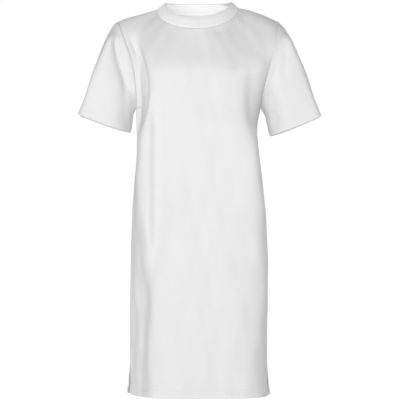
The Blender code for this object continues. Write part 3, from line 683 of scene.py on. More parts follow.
def sleeve_points(side):
    """The outer skin of a sleeve: rows from the armhole to the hem, closed around."""
    hem = LEFT_HEM if side < 0 else RIGHT_HEM
    start = armhole_loop(side)
    around = np.arange(2 * CHEST_ROWS) / (2 * CHEST_ROWS) * 2 * math.pi
    across, ahead = np.cos(around), np.sin(around)
    inner = np.array([side * hem.inner_across, 0, hem.inner_height])
    outer = np.array([side * hem.outer_across, 0, hem.outer_height])
    middle = (inner + outer) / 2 + np.array([0, SLEEVE_HEM_SHIFT, 0])
    half = (outer - inner) / 2
    square = np.where(across < 0, SLEEVE_OUTER_SQUARENESS, SLEEVE_INNER_SQUARENESS)
    fuller = (np.abs(ahead) ** square + np.abs(across) ** square) ** (-1 / square)
    end = middle - across[:, None] * half
    end[:, 1] -= ahead * hem.depth / 2
    over = ((1 - across) / 2)[:, None]
    shoulder = OVER_LEFT_SHOULDER if side < 0 else OVER_RIGHT_SHOULDER
    out, down, reach, arrival = (
        low + (high - low) * over for low, high in zip(UNDER_ARM, shoulder)
    )
    leaving = unit(np.hstack([side * out, -LEAVING_DEPTH * ahead[:, None], -down]))
    along = unit(np.array([side * half[2], 0.0, -abs(half[0])]))
    end = end + along * hem.bow * ahead[:, None] ** 2
    chord = np.linalg.norm(end - start, axis=1, keepdims=True)
    rows = []
    for t in sleeve_shares(hem):
        row = between(start, end, leaving * reach * chord, along * arrival * chord, t)
        # Below its cap a sleeve is as square, across and from front to back, as its hem.
        more = ((fuller - 1) * ramp(t, 0, SLEEVE_SQUARE_BY))[:, None]
        width = row[CHEST_ROWS] - row[0]
        share = (row - (row[0] + row[CHEST_ROWS]) / 2) @ width / (width @ width)
        row = row + share[:, None] * width * more + row * [0, 1, 0] * more
        rows.append(row)
    return np.array(rows)


def sleeve_shares(hem):
    """Where a sleeve's rows lie, from the armhole, 0, to the hem, 1."""
    length = math.hypot(hem.outer_across - ARMHOLES[0].right, hem.outer_height)
    turned = 1 - np.array(SLEEVE_HEM_ROWS[::-1]) / length
    rows = np.linspace(0, turned[0], SLEEVE_ROWS, endpoint=False)
    return np.concatenate([rows, turned])


def band_points():
    """The outer skin of the neck band: rows from its seam to its folded top, closed around."""
    front = np.linspace(-math.pi / 2, math.pi / 2, NECK_COLUMNS, endpoint=False)
    angle = np.concatenate([front, front + math.pi])
    seam = neck_ring(NECK_SEAM, angle)
    top = neck_ring(NECK_TOP, angle)
    rows = []
    for t in np.linspace(0, 1, BAND_ROWS + 1):
        bulge = BAND_BULGE * 4 * t * (1 - t)
        outward = unit(seam * np.array([1, 1, 0]))
        rows.append(seam + (top - seam) * t + outward * bulge)
    return np.array(rows)


def open_curve(knots, count):
    """Even points on a smooth line through the knots."""
    knots = np.asarray(knots, float)
    at = np.arange(len(knots))
    fine = np.linspace(0, len(knots) - 1, PATH_STEPS * count)
    line = np.stack([smooth(at, column, fine) for column in knots.T], axis=1)
    along = walked(line)
    return read(np.linspace(0, along[-1], count), along, line)


def crease_depth(points, crease):
    """How deep a crease is at each point, read from across and up alone."""
    line = open_curve(crease.path, PATH_POINTS)
    ahead = unit(np.gradient(line, axis=0))
    place = points[:, :, [0, 2]].reshape(-1, 2)
    apart = place[:, None, :] - line[None, :, :]
    nearest = np.argmin((apart**2).sum(axis=2), axis=1)
    rest = apart[np.arange(len(place)), nearest]
    way = ahead[nearest]
    # Positive is to the right of a path that runs down.
    beside = rest[:, 1] * way[:, 0] - rest[:, 0] * way[:, 1]
    beyond = rest[:, 0] * way[:, 0] + rest[:, 1] * way[:, 1]
    share = nearest / (PATH_POINTS - 1)
    share = share + beyond / walked(line)[-1]
    ends = ramp(share, 0, CREASE_FADE) * ramp(share, 1, 1 - CREASE_FADE)
    width = np.where(beside > 0, crease.right_width, crease.left_width)
    return (crease.depth * bell(beside, width) * ends).reshape(points.shape[:2])


def waver(points):
    """The slow waver of the cloth at each point."""
    turned = np.arctan2(points[..., 0], np.abs(points[..., 1]) + WAVER_BEHIND)
    across = turned * WAVER_RADIUS
    total = np.zeros(points.shape[:2])
    for wave in WAVERS:
        waves = wave.across * across + wave.up * points[..., 2]
        total += wave.height * np.sin(2 * math.pi * waves + wave.phase)
    return total


def lengths(points, axis):
    """Distances along a grid's lines from its first edge, and to its last."""
    step = np.linalg.norm(np.diff(points, axis=axis), axis=-1)
    none = np.zeros_like(np.take(step, [0], axis=axis))
    from_first = np.concatenate([none, np.cumsum(step, axis=axis)], axis=axis)
    return from_first, np.take(from_first, [-1], axis=axis) - from_first


def pressed(points, creases):
    """How far the creases move each point outwards."""
    return sum(-crease_depth(points, crease) for crease in creases)


def panel_creased(points, creases, facing):
    """A panel's points moved into its creases and its waver, but for its sewn edges."""
    beside = np.minimum(*lengths(points, 1))
    below = lengths(points, 0)[1]
    still = ramp(beside, 0, SEWN_WIDTH) * ramp(below, 0, SEWN_WIDTH)
    move = (pressed(points, creases) + waver(points)) * still
    # Creases press as much straight back as square to the cloth, so that they stay open.
    way = unit(normals(points, facing, False) + np.array([0, facing * STRAIGHT_BACK, 0]))
    return points + way * move[..., None]


def sleeve_creased(points, front_creases, back_creases, side):
    """A sleeve's points moved into its creases, but for the edge that is sewn in."""
    still = ramp(lengths(points, 0)[0], 0, SLEEVE_SEWN_WIDTH)
    front = pressed(points, front_creases)
    back = pressed(points, back_creases)
    is_front = ramp(-points[..., 1], -SLEEVE_TURN, SLEEVE_TURN)
    move = front * is_front + back * (1 - is_front) + waver(points) * SLEEVE_WAVER
    return points + normals(points, side, True) * (move * still)[..., None]


def seam_offset(first, second):
    """The wall's direction at a seam, which both pieces share, so that their rims match."""
    both = np.sum(first * second, axis=-1, keepdims=True)
    return (first + second) / np.maximum(1 + both, SHARPEST_SEAM)


def seam_step(line, offset, beside):
    """Half the seam's gap, square to the rim, on the side where the points beside it lie."""
    along = np.gradient(line, axis=0)
    step = unit(np.cross(along, offset))
    side = np.sign(np.sum(step * (beside - line), axis=-1, keepdims=True))
    return step * side * SEAM_GAP / 2


def wrapped(grid):
    """A grid that is closed around, with its first column again after its last."""
    return np.concatenate([grid, grid[:, :1]], axis=1)


class Piece:
    """A cut piece of cloth: its outer skin, the directions of its wall, and its thickness."""

    def __init__(self, name, points, facing, closed, thickness):
        self.name = name
        self.points = points
        self.facing = facing
        self.closed = closed
        self.inward = -normals(points, facing, closed)
        self.shift = np.zeros_like(points)
        self.thickness = np.full(points.shape[:2], thickness)
        # How round the edge is at each point: 1 at a fold, 0 where it is sewn to a neighbour.
        self.folded_edge = np.ones(points.shape[:2])
        self.cut = self.flat_places()

    def flat_places(self):
        """Where each point lies on the flat cut: across and along, in metres."""
        points = wrapped(self.points) if self.closed else self.points
        across = lengths(points, 1)[0]
        if not self.closed:
            across = across - across[:, [across.shape[1] // 2]]
        return np.stack([across, lengths(points, 0)[0]], axis=-1)

    def dip(self, depth):
        """Presses the outer skin inwards by a depth for each point."""
        self.shift += self.inward * depth[..., None]

    def join(self, rows, columns, offset, step):
        """Gives sewn edge points their seam's wall direction and half of its gap."""
        self.inward[rows, columns] = offset
        self.shift[rows, columns] += step
        self.folded_edge[rows, columns] = 0

    def outer(self):
        """The outer skin, with its seams and dips."""
        return self.points + self.shift

    def area(self):
        """The area of the outer skin."""
        skin = wrapped(self.outer()) if self.closed else self.outer()
        across = skin[:-1, 1:] - skin[:-1, :-1]
        first = np.cross(skin[1:, :-1] - skin[:-1, :-1], across)
        second = np.cross(skin[1:, :-1] - skin[1:, 1:], skin[:-1, 1:] - skin[1:, 1:])
        return sum(np.linalg.norm(half, axis=-1).sum() for half in (first, second)) / 2


def sew_panels(front, back, rows, columns, beside):
    """Joins the two panels at edge points, beside which others lie on the front."""
    offset = seam_offset(front.inward[rows, columns], back.inward[rows, columns])
    step = seam_step(front.points[rows, columns], offset, front.points[beside])
    front.join(rows, columns, offset, step)
    back.join(rows, columns, offset, -step)


def sew_sides(front, back):
    """Joins the panels' side seams down to the vents."""
    heights = front.points[: BODY_ROWS + 1, 0, 2]
    for column, beside, top in ((0, 1, LEFT_VENT_HEIGHT), (-1, -2, RIGHT_VENT_HEIGHT)):
        rows = np.flatnonzero(heights >= top)
        sew_panels(front, back, rows, column, (rows, beside))


def sew_shoulders(front, back):
    """Joins the shoulder seams, from the neckline to the armholes."""
    left = np.arange(SHOULDER_COLUMNS + 1)
    for columns in (left, left + SHOULDER_COLUMNS + NECK_COLUMNS):
        sew_panels(front, back, -1, columns, (-2, columns))


def sew_ring(front, back, ring, front_edge, back_edge):
    """Joins a ring, a sleeve or the neck band, to an edge of the front and one of the back.

    An edge is its points' rows and columns, in the ring's order. The back's shares its ends
    with the front's.
    """
    half = ring.points.shape[1] // 2
    panel_side = np.vstack([front.inward[front_edge], back.inward[back_edge][1:-1]])
    offset = seam_offset(unit(panel_side), ring.inward[0])
    line, turned, beside = (
        np.vstack([row[-1:], row, row[:1]]) for row in (ring.points[0], offset, ring.points[1])
    )
    step = seam_step(line, turned, beside)[1:-1]
    ring.join(0, slice(None), offset, step)
    for piece, edge, first in ((front, front_edge, 0), (back, back_edge, half)):
        points = (first + np.arange(half + 1)) % (2 * half)
        piece.join(*edge, offset[points], -step[points])


def sew_sleeve(front, back, sleeve, column):
    """Sets a sleeve into the armhole that both panels leave for it."""
    rows = front.points.shape[0] - 1 - CHEST_ROWS + np.arange(CHEST_ROWS + 1)
    sew_ring(front, back, sleeve, (rows, column), (rows[::-1], column))


def sew_band(front, back, band):
    """Joins the neck band to both necklines."""
    columns = SHOULDER_COLUMNS + np.arange(NECK_COLUMNS + 1)
    sew_ring(front, back, band, (-1, columns), (-1, columns[::-1]))


def in_scene(name, data):
    """A new object in the scene."""
    made = bpy.data.objects.new(name, data)
    bpy.context.scene.collection.objects.link(made)
    return made


def on_dress(name, mesh):
    """A new object that belongs to the dress."""
    made = in_scene(name, mesh)
    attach(made, "root")
    return made


def wall(piece, face, inside):
    """Makes a piece's closed shell: outer skin, inner skin and the edges between them."""
    outer = piece.outer()
    inner = outer + piece.inward * piece.thickness[..., None]
    rows, columns = outer.shape[:2]
    count = rows * columns
    spans = columns if piece.closed else columns - 1
    ids = np.arange(count).reshape(rows, columns)
    j, i = (x.ravel() for x in np.mgrid[0 : rows - 1, 0:spans])
    corners = [(j, i), (j, i + 1), (j + 1, i + 1), (j + 1, i)]
    quads = np.stack([ids[a, b % columns] for a, b in corners], axis=1)
    places = np.stack([piece.cut[a, b] for a, b in corners], axis=1)
    faces = [quads, quads[:, ::-1] + count]
    cuts = [places, places[:, ::-1]]
    vertices = [outer.reshape(-1, 3), inner.reshape(-1, 3)]
    total = 2 * count
    for line in edge_lines(rows, columns, piece.closed):
        a, b = (np.array(x) for x in zip(*line))
        rim = edge_points(piece, outer, inner, a, b % columns)
        steps = len(rim)
        vertices.append(rim.reshape(-1, 3))
        rim_ids = total + np.arange(steps * len(a)).reshape(steps, len(a))
        if piece.closed:
            rim_ids[:, -1] = rim_ids[:, 0]
        total += steps * len(a)
        skin_ids = ids[a, b % columns][None]
        chain = np.vstack([skin_ids, rim_ids, skin_ids + count])
        near, far = chain[:, :-1], chain[:, 1:]
        strip = np.stack([far[:-1], near[:-1], near[1:], far[1:]], axis=-1).reshape(-1, 4)
        place = piece.cut[a, b]
        strip_places = np.stack([place[1:], place[:-1], place[:-1], place[1:]], axis=1)
        faces.append(strip)
        cuts.append(np.tile(strip_places, (len(chain) - 1, 1, 1)))
    sizes = [len(x) for x in faces]
    faces = np.concatenate(faces)
    cuts = np.concatenate(cuts)
    if piece.facing > 0:
        faces = faces[:, ::-1]
        cuts = cuts[:, ::-1]
    mesh = bpy.data.meshes.new(piece.name + "_cloth")
    mesh.from_pydata(np.concatenate(vertices).tolist(), [], faces.tolist())
    mesh.uv_layers.new(name="cut").uv.foreach_set("vector", cuts.reshape(-1).astype(np.float32))
    mesh.materials.append(face)
    mesh.materials.append(inside)
    is_inside = np.zeros(len(faces), np.int32)
    is_inside[sizes[0] : sizes[0] + sizes[1]] = 1
    mesh.polygons.foreach_set("material_index", is_inside)
    mesh.shade_smooth()
    mesh.validate()
    made = on_dress(piece.name + "_cloth", mesh)
    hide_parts(piece.name)
    return made


def edge_lines(rows, columns, closed):
    """The edges of a grid, as lines of (row, column) that keep the piece on their left."""
    if closed:
        near = [(0, i) for i in range(columns + 1)]
        far = [(rows - 1, i) for i in reversed(range(columns + 1))]
        return [near, far]
    line = [(0, i) for i in range(columns)]
    line += [(j, columns - 1) for j in range(1, rows)]
    line += [(rows - 1, i) for i in reversed(range(columns - 1))]
    line += [(j, 0) for j in reversed(range(rows - 1))]
    return [line]


def edge_points(piece, outer, inner, a, b):
    """Points across an edge from the outer skin to the inner, bowed out where it's folded."""
    rows, columns = outer.shape[:2]
    beside_row = np.clip(a, 1, rows - 2)
    beside_column = b if piece.closed else np.clip(b, 1, columns - 2)
    away = unit(outer[a, b] - outer[beside_row, beside_column])
    across = inner[a, b] - outer[a, b]
    through = unit(across)
    away = unit(away - through * np.sum(away * through, axis=1, keepdims=True))
    bow = piece.folded_edge[a, b][:, None] * piece.thickness[a, b][:, None] / 2
    points = []
    for k in range(1, RIM_STEPS):
        turn = math.pi * k / RIM_STEPS
        between_skins = outer[a, b] + across * (1 - math.cos(turn)) / 2
        points.append(between_skins + away * bow * math.sin(turn))
    return np.array(points)


def at_distance(values, distances, wanted):
    """A line of values across a grid, each column read at its own distance from the foot."""
    line = []
    for i in range(values.shape[1]):
        line.append([np.interp(wanted, distances[:, i], values[:, i, k]) for k in range(3)])
    return np.array(line)


def stitch_line(line, outward):
    """Even places for stitches along a line, with their directions along and outward."""
    along = walked(line)
    places = np.arange(STITCH_PITCH / 2, along[-1] - STITCH_PITCH / 2, STITCH_PITCH)
    middle = read(places, along, line)
    ahead = read(places + STITCH_PITCH / 4, along, line)
    return middle, unit(ahead - middle), unit(read(places, along, outward))


def stitch_points(middle, along, out):
    """The points of one stitch, in rings from end to end."""
    turn = 2 * math.pi * np.arange(STITCH_SIDES)[:, None] / STITCH_SIDES
    around = np.cos(turn) * np.cross(along, out) + np.sin(turn) * out
    rings = []
    for t in np.linspace(-1, 1, STITCH_RINGS):
        rise = THREAD * (STITCH_STANDS - t * t)
        thick = THREAD * math.sqrt(1 - (STITCH_THINS * t) ** 2)
        rings.append(middle + along * t * STITCH_LENGTH / 2 + out * rise + around * thick)
    return np.concatenate(rings)


def stitching(name, lines, thread):
    """Joined stitches along lines of (points, outward directions), as one mesh."""
    vertices = []
    faces = []
    sides = range(STITCH_SIDES)
    for line, outward in lines:
        for middle, along, out in zip(*stitch_line(line, outward)):
            start = len(vertices) * STITCH_RINGS * STITCH_SIDES
            last = start + (STITCH_RINGS - 1) * STITCH_SIDES
            vertices.append(stitch_points(middle, along, out))
            for a in range(start, last, STITCH_SIDES):
                for s in sides:
                    n = (s + 1) % STITCH_SIDES
                    faces.append([a + s, a + n, a + STITCH_SIDES + n, a + STITCH_SIDES + s])
            faces.append([start + s for s in reversed(sides)])
            faces.append([last + s for s in sides])
    mesh = bpy.data.meshes.new(name)
    mesh.from_pydata(np.concatenate(vertices).tolist(), [], faces)
    mesh.shade_smooth()
    mesh.materials.append(thread)
    return on_dress(name, mesh)


class Value:
    """A number that changes over a surface, with its arithmetic written as Python."""

    def __init__(self, nodes, socket):
        self.nodes = nodes
        self.socket = socket

    def __add__(self, other):
        return self.nodes.math("ADD", self, other)

    def __sub__(self, other):
        return self.nodes.math("SUBTRACT", self, other)

    def __rsub__(self, other):
        return self.nodes.math("SUBTRACT", other, self)

    def __mul__(self, other):
        return self.nodes.math("MULTIPLY", self, other)

    def __truediv__(self, other):
        return self.nodes.math("DIVIDE", self, other)

    def __abs__(self):
        return self.nodes.math("ABSOLUTE", self)

    __radd__ = __add__
    __rmul__ = __mul__


class Nodes:
    """The nodes of a material or of the studio's surroundings."""

    def __init__(self, tree):
        self.tree = tree

    def node(self, kind, settings=(), inputs=(), output=0):
        """Adds a node of a type: its settings, then the values or links of its sockets."""
        made = self.tree.nodes.new(kind)
        for name, value in dict(settings).items():
            setattr(made, name, value)
        for name, value in dict(inputs).items():
            self.feed(made.inputs[name], value)
        return Value(self, made.outputs[output])

    def feed(self, socket, value):
        """Links a value to a socket, or sets it there where it is the same all over."""
        if isinstance(value, Value):
            self.tree.links.new(value.socket, socket)
        else:
            socket.default_value = value

    def math(self, operation, *values):
        """The value of a Math node."""
        return self.node("ShaderNodeMath", {"operation": operation}, enumerate(values))

    def mix(self, share, first, second):
        """A colour between two colours."""
        colours = {0: share, 6: first, 7: second}
        return self.node("ShaderNodeMix", {"data_type": "RGBA"}, colours, 2)

    def part(self, vector, axis):
        """One part of a vector: 0 across, 1 along, 2 up."""
        return self.node("ShaderNodeSeparateXYZ", {}, {0: vector}, axis)

    def noise(self, where, scale, detail):
        """Soft clouds, from 0 to 1."""
        clouds = {"Vector": where, "Scale": scale, "Detail": detail}
        return self.node("ShaderNodeTexNoise", {}, clouds)

    def place(self):
        """The point itself, in metres."""
        return self.node("ShaderNodeTexCoord", {}, {}, "Object")


class Finish(Nodes):
    """One material and the nodes that make it."""

    def __init__(self, name):
        self.material = bpy.data.materials.new(name)
        self.material.use_nodes = True
        super().__init__(self.material.node_tree)
        self.shader = self.tree.nodes["Principled BSDF"]

    def set(self, name, value):
        """Sets or links one of the shader's sockets."""
        self.feed(self.shader.inputs[name], value)

    def cut_places(self):
        """Where a point lies on its piece's flat cut: across and along, in metres."""
        where = self.node("ShaderNodeUVMap", {"uv_map": "cut"})
        return self.part(where, 0), self.part(where, 1)

    def cotton(self, cotton, stitches):
        """The colour, roughness and relief of a cotton, whose stitches stand this high."""
        place = self.place()
        fibre = self.noise(place, cotton.fibres, cotton.detail)
        clouds = self.noise(place, cotton.clouds, cotton.detail)
        self.set("Base Color", self.mix(clouds, cotton.shade, cotton.light))
        self.set("Specular IOR Level", COTTON_SPECULAR)
        self.set("Sheen Weight", cotton.sheen)
        self.set("Sheen Roughness", SHEEN_ROUGHNESS)
        self.set("Roughness", fibre * cotton.spread + cotton.roughness)
        height = fibre * cotton.fibre_relief + stitches
        relief = {"Height": height, "Distance": cotton.depth, "Strength": cotton.strength}
        self.set("Normal", self.node("ShaderNodeBump", {}, relief))

    def painted_glow(self, share, strength):
        """Painted light: a glow given as emission, standing in for light that comes through the
        cloth, by its share at each point.
        """
        self.set("Emission Color", self.mix(share, DARK, WHITE_RIB))
        self.set("Emission Strength", strength)


def jersey_face():
    """The smooth side of jersey: upright lines of small V stitches, soft with fibre."""
    cloth = Finish("white_jersey_face")
    across, along = cloth.cut_places()
    leg = abs(cloth.math("FRACT", across / WALE) - 0.5)
    loops = cloth.math("SINE", (along / COURSE + leg * LEG_SLANT) * (2 * math.pi))
    # 0 in the middle of a leg, 1 at its edges
    middle = abs(leg - 0.25) * 4
    stitches = (1 - middle * middle) * (loops * LOOP_RELIEF + (1 - LOOP_RELIEF))
    cloth.cotton(FACE, stitches)
    return cloth.material


def jersey_inside():
    """The purl side of jersey: rows of small arcs that run across."""
    cloth = Finish("white_jersey_inside")
    across, along = cloth.cut_places()
    arc = cloth.math("SINE", across * (2 * math.pi / WALE))
    rows = abs(cloth.math("SINE", (along / COURSE + arc * ARC_HEIGHT) * math.pi))
    cloth.cotton(INSIDE, rows)
    # Painted light: the inside of the cloth glows, more strongly towards the top, down to a set
    # depth below it.
    above = cloth.part(cloth.place(), 2) + PAINTED_GLOW_DEPTH
    cloth.painted_glow(cloth.math("MAXIMUM", above / PAINTED_GLOW_DEPTH, 0.0), INSIDE_PAINTED_GLOW)
    return cloth.material


def rib(name):
    """The neck band's rib, whose knit shows as fine stitches along each rib."""
    cloth = Finish(name)
    across, along = cloth.cut_places()
    loops = abs(cloth.math("SINE", (along / COURSE) * math.pi))
    ribs = abs(cloth.math("SINE", across * (math.pi / RIB_PITCH)))
    cloth.cotton(RIB_KNIT, ribs + loops * RIB_LOOPS)
    return cloth, across


def rib_outside():
    """The band's outer side, with a faint painted glow towards the sides of the neck, where it
    stands up.
    """
    cloth, _ = rib("white_rib")
    beside = abs(cloth.part(cloth.place(), 0))
    cloth.painted_glow(cloth.math("MINIMUM", beside / BAND_GLOW_REACH, 1.0), BAND_PAINTED_GLOW)
    return cloth.material


def rib_inside():
    """The inside of the band, made bright by painted light, a glow that stands in for light
    coming through the rib.
    """
    cloth, across = rib("white_rib_inside")
    # Painted shade: the glow fades out where the band turns at the right.
    away = abs(across - PAINTED_SHADE_TURN) / PAINTED_SHADE_TURN_WIDTH
    cloth.painted_glow(cloth.math("MINIMUM", away, 1.0), INSIDE_PAINTED_GLOW)
    return cloth.material


def thread_finish():
    """White sewing thread, a little brighter and smoother than the cloth, with its twist."""
    thread = Finish("white_thread")
    thread.cotton(TWIST, 0.0)
    return thread.material


def allowance(distance):
    """The thickness that a seam allowance adds, by the distance from its seam."""
    return ALLOWANCE * ramp(distance, ALLOWANCE_WIDTH, ALLOWANCE_WIDTH * ALLOWANCE_THINS)


def turned_hem(distance, depth):
    """The thickness that a turned hem adds, by the distance from its foot."""
    return (TURNED_HEM - JERSEY) * ramp(distance, depth + TURNED_EDGE, depth - TURNED_EDGE)


def hem_details(piece, distance, depth, across):
    """A turned hem: a slight flare, two pressed lines of stitches and small puckers."""
    lines = sum(bell(distance - depth + inside, STITCH_DIP_WIDTH) for inside in HEM_STITCHES_IN)
    puckers = sum(
        pucker.share * np.sin(across * 2 * math.pi * pucker.per_metre + pucker.phase)
        for pucker in PUCKERS
    )
    near = bell(distance - depth + HEM_STITCHES_IN[0], PUCKER_WIDTH)
    flare = ramp(distance, depth, 0.0)
    piece.dip(STITCH_DIP * lines + HEM_PUCKER * puckers * near - HEM_FLARE * flare)
    piece.thickness += turned_hem(distance, depth)


def panel_details(piece):
    """Seams, hem and allowances of the front or the back."""
    left, right = lengths(piece.points, 1)
    foot, top = lengths(piece.points, 0)
    rows = np.arange(piece.points.shape[0])[:, None]
    heights = piece.points[..., 2]
    for distance, vent_top in ((left, LEFT_VENT_HEIGHT), (right, RIGHT_VENT_HEIGHT)):
        side = ramp(heights, vent_top - SEAM_BELOW_END, vent_top + SEAM_ABOVE_END)
        sewn = np.where(rows > BODY_ROWS, 1.0, side)
        piece.dip(SEAM_DIP * bell(distance, SEAM_DIP_WIDTH) * sewn)
        hollow = ramp(rows, BODY_ROWS, BODY_ROWS + ARMPIT_ROWS) * ramp(top, 0, SHOULDER_FADE)
        piece.dip(ARMHOLE_DIP * bell(distance, ARMHOLE_DIP_WIDTH) * hollow)
        piece.thickness += allowance(distance)
    from_middle = np.abs(np.arange(piece.points.shape[1]) - SHOULDER_COLUMNS - NECK_COLUMNS / 2)
    shoulder = from_middle > NECK_COLUMNS / 2
    piece.dip(SEAM_DIP * bell(top, SEAM_DIP_WIDTH) * shoulder)
    piece.thickness += allowance(top)
    hem_details(piece, foot, HEM_DEPTH, left)


def sleeve_details(piece):
    """Seam, hem and allowance of a sleeve."""
    head, foot = lengths(piece.points, 0)
    piece.dip(SEAM_DIP * bell(head, SEAM_DIP_WIDTH))
    piece.thickness += allowance(head)
    hem_details(piece, foot, SLEEVE_HEM_DEPTH, piece.cut[:, :-1, 0])


def band_details(piece):
    """The lines pressed into the neck band."""
    foot, top = lengths(piece.points, 0)
    for share in PRESSED_LINES:
        piece.dip(PRESSED_DIP * bell(foot - share * (foot + top), STITCH_DIP_WIDTH))


def hem_stitches(piece, distance, depth, thread):
    """The two lines of stitches along a hem, by the distance from its foot."""
    grids = [piece.outer(), -piece.inward, distance]
    if distance[0, 0] > 0:
        grids = [grid[::-1] for grid in grids]
    skin, out, distance = grids
    lines = []
    for inside in HEM_STITCHES_IN:
        line = [at_distance(grid, distance, depth - inside) for grid in (skin, out)]
        if piece.closed:
            line = [np.vstack([side, side[:1]]) for side in line]
        else:
            line = [side[CORNER_POINTS:-CORNER_POINTS] for side in line]
        lines.append(line)
    return stitching(piece.name + "_hem_stitches", lines, thread)


def neck_stitches(piece, thread):
    """A line of stitches beside the neckline, just below the band."""
    columns = slice(SHOULDER_COLUMNS, SHOULDER_COLUMNS + NECK_COLUMNS + 1)
    distance = lengths(piece.points, 0)[1][::-1, columns]
    line = [
        at_distance(grid[::-1, columns], distance, NECK_STITCHES_IN)
        for grid in (piece.outer(), -piece.inward)
    ]
    return stitching(piece.name + "_neck_stitches", [line], thread)


def vent_stitches(piece, thread):
    """A line of stitches beside each vent, from the hem up past the end of the seam."""
    lines = []
    grids = [grid.transpose(1, 0, 2) for grid in (piece.outer(), -piece.inward)]
    heights = piece.points[: BODY_ROWS + 1, 0, 2]
    left, right = (distance.T for distance in lengths(piece.points, 1))
    for distance, top, flip in ((left, LEFT_VENT_HEIGHT, 1), (right, RIGHT_VENT_HEIGHT, -1)):
        rows = np.flatnonzero(heights <= top + VENT_STITCHES_PAST)[CORNER_POINTS:]
        beside = distance[::flip][:, rows]
        sides = [grid[::flip][:, rows] for grid in grids]
        lines.append([at_distance(side, beside, VENT_STITCHES_IN) for side in sides])
    return stitching(piece.name + "_vent_stitches", lines, thread)


def make_dress():
    """All the pieces of the dress, sewn together."""
    front = panel_creased(panel_points(-1), FRONT_CREASES, -1)
    back = panel_creased(panel_points(1), BACK_CREASES, 1)
    left = sleeve_creased(sleeve_points(-1), LEFT_SLEEVE_CREASES, LEFT_SLEEVE_BACK_CREASES, -1)
    right = sleeve_creased(sleeve_points(1), RIGHT_SLEEVE_CREASES, RIGHT_SLEEVE_BACK_CREASES, 1)
    front = Piece("front", front, -1, False, JERSEY)
    back = Piece("back", back, 1, False, JERSEY)
    left = Piece("sleeve_left", left, -1, True, JERSEY)
    right = Piece("sleeve_right", right, 1, True, JERSEY)
    band = Piece("neck_band", band_points(), -1, True, RIB)
    sew_sides(front, back)
    sew_shoulders(front, back)
    sew_sleeve(front, back, left, 0)
    sew_sleeve(front, back, right, -1)
    sew_band(front, back, band)
    for panel in (front, back):
        panel_details(panel)
    for sleeve in (left, right):
        sleeve_details(sleeve)
    band_details(band)
    return (front, back), (left, right), band


def declare(piece):
    """Works out the area of a piece's outer skin, and keeps nothing of it."""
    round(float(piece.area()), 4)


def dress():
    """Builds and finishes every piece."""
    panels, sleeves, band = make_dress()
    face = jersey_face()
    inside = jersey_inside()
    thread = thread_finish()
    for panel in panels:
        cloth = wall(panel, face, inside)
        foot = lengths(panel.points, 0)[0]
        sewing = [
            hem_stitches(panel, foot, HEM_DEPTH, thread),
            neck_stitches(panel, thread),
            vent_stitches(panel, thread),
        ]
        declare(panel)
    for sleeve in sleeves:
        cloth = wall(sleeve, face, inside)
        foot = lengths(sleeve.points, 0)[1]
        sewing = [hem_stitches(sleeve, foot, SLEEVE_HEM_DEPTH, thread)]
        declare(sleeve)
    cloth = wall(band, rib_outside(), rib_inside())
    declare(band)


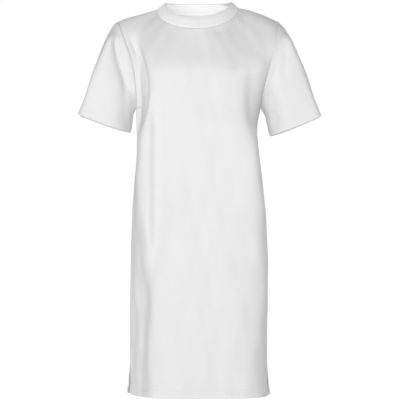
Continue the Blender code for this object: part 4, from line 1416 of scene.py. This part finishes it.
def floor():
    """A plain pale floor that fades out at its far edge."""
    turn = 2 * math.pi * np.arange(FLOOR_STEPS) / FLOOR_STEPS
    radii = [FLOOR_RADIUS * (k + 1) / FLOOR_RINGS for k in range(FLOOR_RINGS)]
    vertices = [(0.0, 0.0, FLOOR_HEIGHT)]
    for r in radii:
        vertices += [(r * math.cos(t), r * math.sin(t), FLOOR_HEIGHT) for t in turn]
    pairs = [(k, (k + 1) % FLOOR_STEPS) for k in range(FLOOR_STEPS)]
    faces = [(0, 1 + k, 1 + n) for k, n in pairs]
    for ring in range(FLOOR_RINGS - 1):
        a, b = 1 + ring * FLOOR_STEPS, 1 + (ring + 1) * FLOOR_STEPS
        faces += [(a + k, b + k, b + n, a + n) for k, n in pairs]
    mesh = bpy.data.meshes.new("floor")
    mesh.from_pydata(vertices, [], faces)
    pale = Finish("pale_floor")
    away = pale.node("ShaderNodeVectorMath", {"operation": "LENGTH"}, {0: pale.place()}, 1)
    pale.set("Alpha", pale.math("MINIMUM", (FLOOR_RADIUS - away) / FLOOR_FADE, 1.0))
    pale.set("Base Color", FLOOR_WHITE)
    pale.set("Roughness", FLOOR_ROUGHNESS)
    mesh.materials.append(pale.material)
    in_scene("floor", mesh)


def camera():
    """The camera stands level in front, with the dress filling the picture's height."""
    data = bpy.data.cameras.new("camera")
    data.sensor_width = SENSOR
    data.lens = SENSOR * CAMERA_DISTANCE / VIEW_WIDTH
    data.clip_end = FARTHEST
    made = in_scene("camera", data)
    made.location = (CAMERA_ACROSS, -CAMERA_DISTANCE, CAMERA_HEIGHT)
    made.rotation_euler = (math.radians(90), 0, 0)
    bpy.context.scene.camera = made


def soft_light(light):
    """A large square light that the camera doesn't see."""
    data = bpy.data.lights.new(light.name, "AREA")
    data.shape = "SQUARE"
    data.size = light.size
    data.energy = light.power
    made = in_scene(light.name, data)
    made.location = light.place
    aim = Vector(LIGHTS_AIM) - Vector(light.place)
    made.rotation_euler = aim.to_track_quat("-Z", "Y").to_euler()
    made.visible_camera = False


def studio():
    """White surroundings, a large soft light from the front and a weaker one behind."""
    world = bpy.data.worlds.new("studio")
    world.use_nodes = True
    around = Nodes(world.node_tree)
    backdrop = world.node_tree.nodes["Background"]
    backdrop.inputs["Color"].default_value = WHITE_LIGHT
    backdrop.inputs["Strength"].default_value = BACKDROP_LIGHT
    up = around.part(around.node("ShaderNodeTexCoord", {}, {}, "Generated"), 2)
    dimming = {
        "Value": up, "From Min": 0.0, "From Max": 1.0,
        "To Min": AROUND_LIGHT, "To Max": OVERHEAD_LIGHT,
    }
    strength = around.node("ShaderNodeMapRange", {}, dimming)
    lit = around.node("ShaderNodeBackground", {}, {"Color": WHITE_LIGHT, "Strength": strength})
    is_seen = around.node("ShaderNodeLightPath", {}, {}, "Is Camera Ray")
    shown = Value(around, backdrop.outputs[0])
    both = around.node("ShaderNodeMixShader", {}, {0: is_seen, 1: lit, 2: shown})
    around.feed(world.node_tree.nodes["World Output"].inputs["Surface"], both)
    bpy.context.scene.world = world
    for light in LIGHTS:
        soft_light(light)
    bpy.context.scene.view_settings.view_transform = "Standard"
    bpy.context.scene.view_settings.look = "None"


dress()
floor()
camera()
studio()
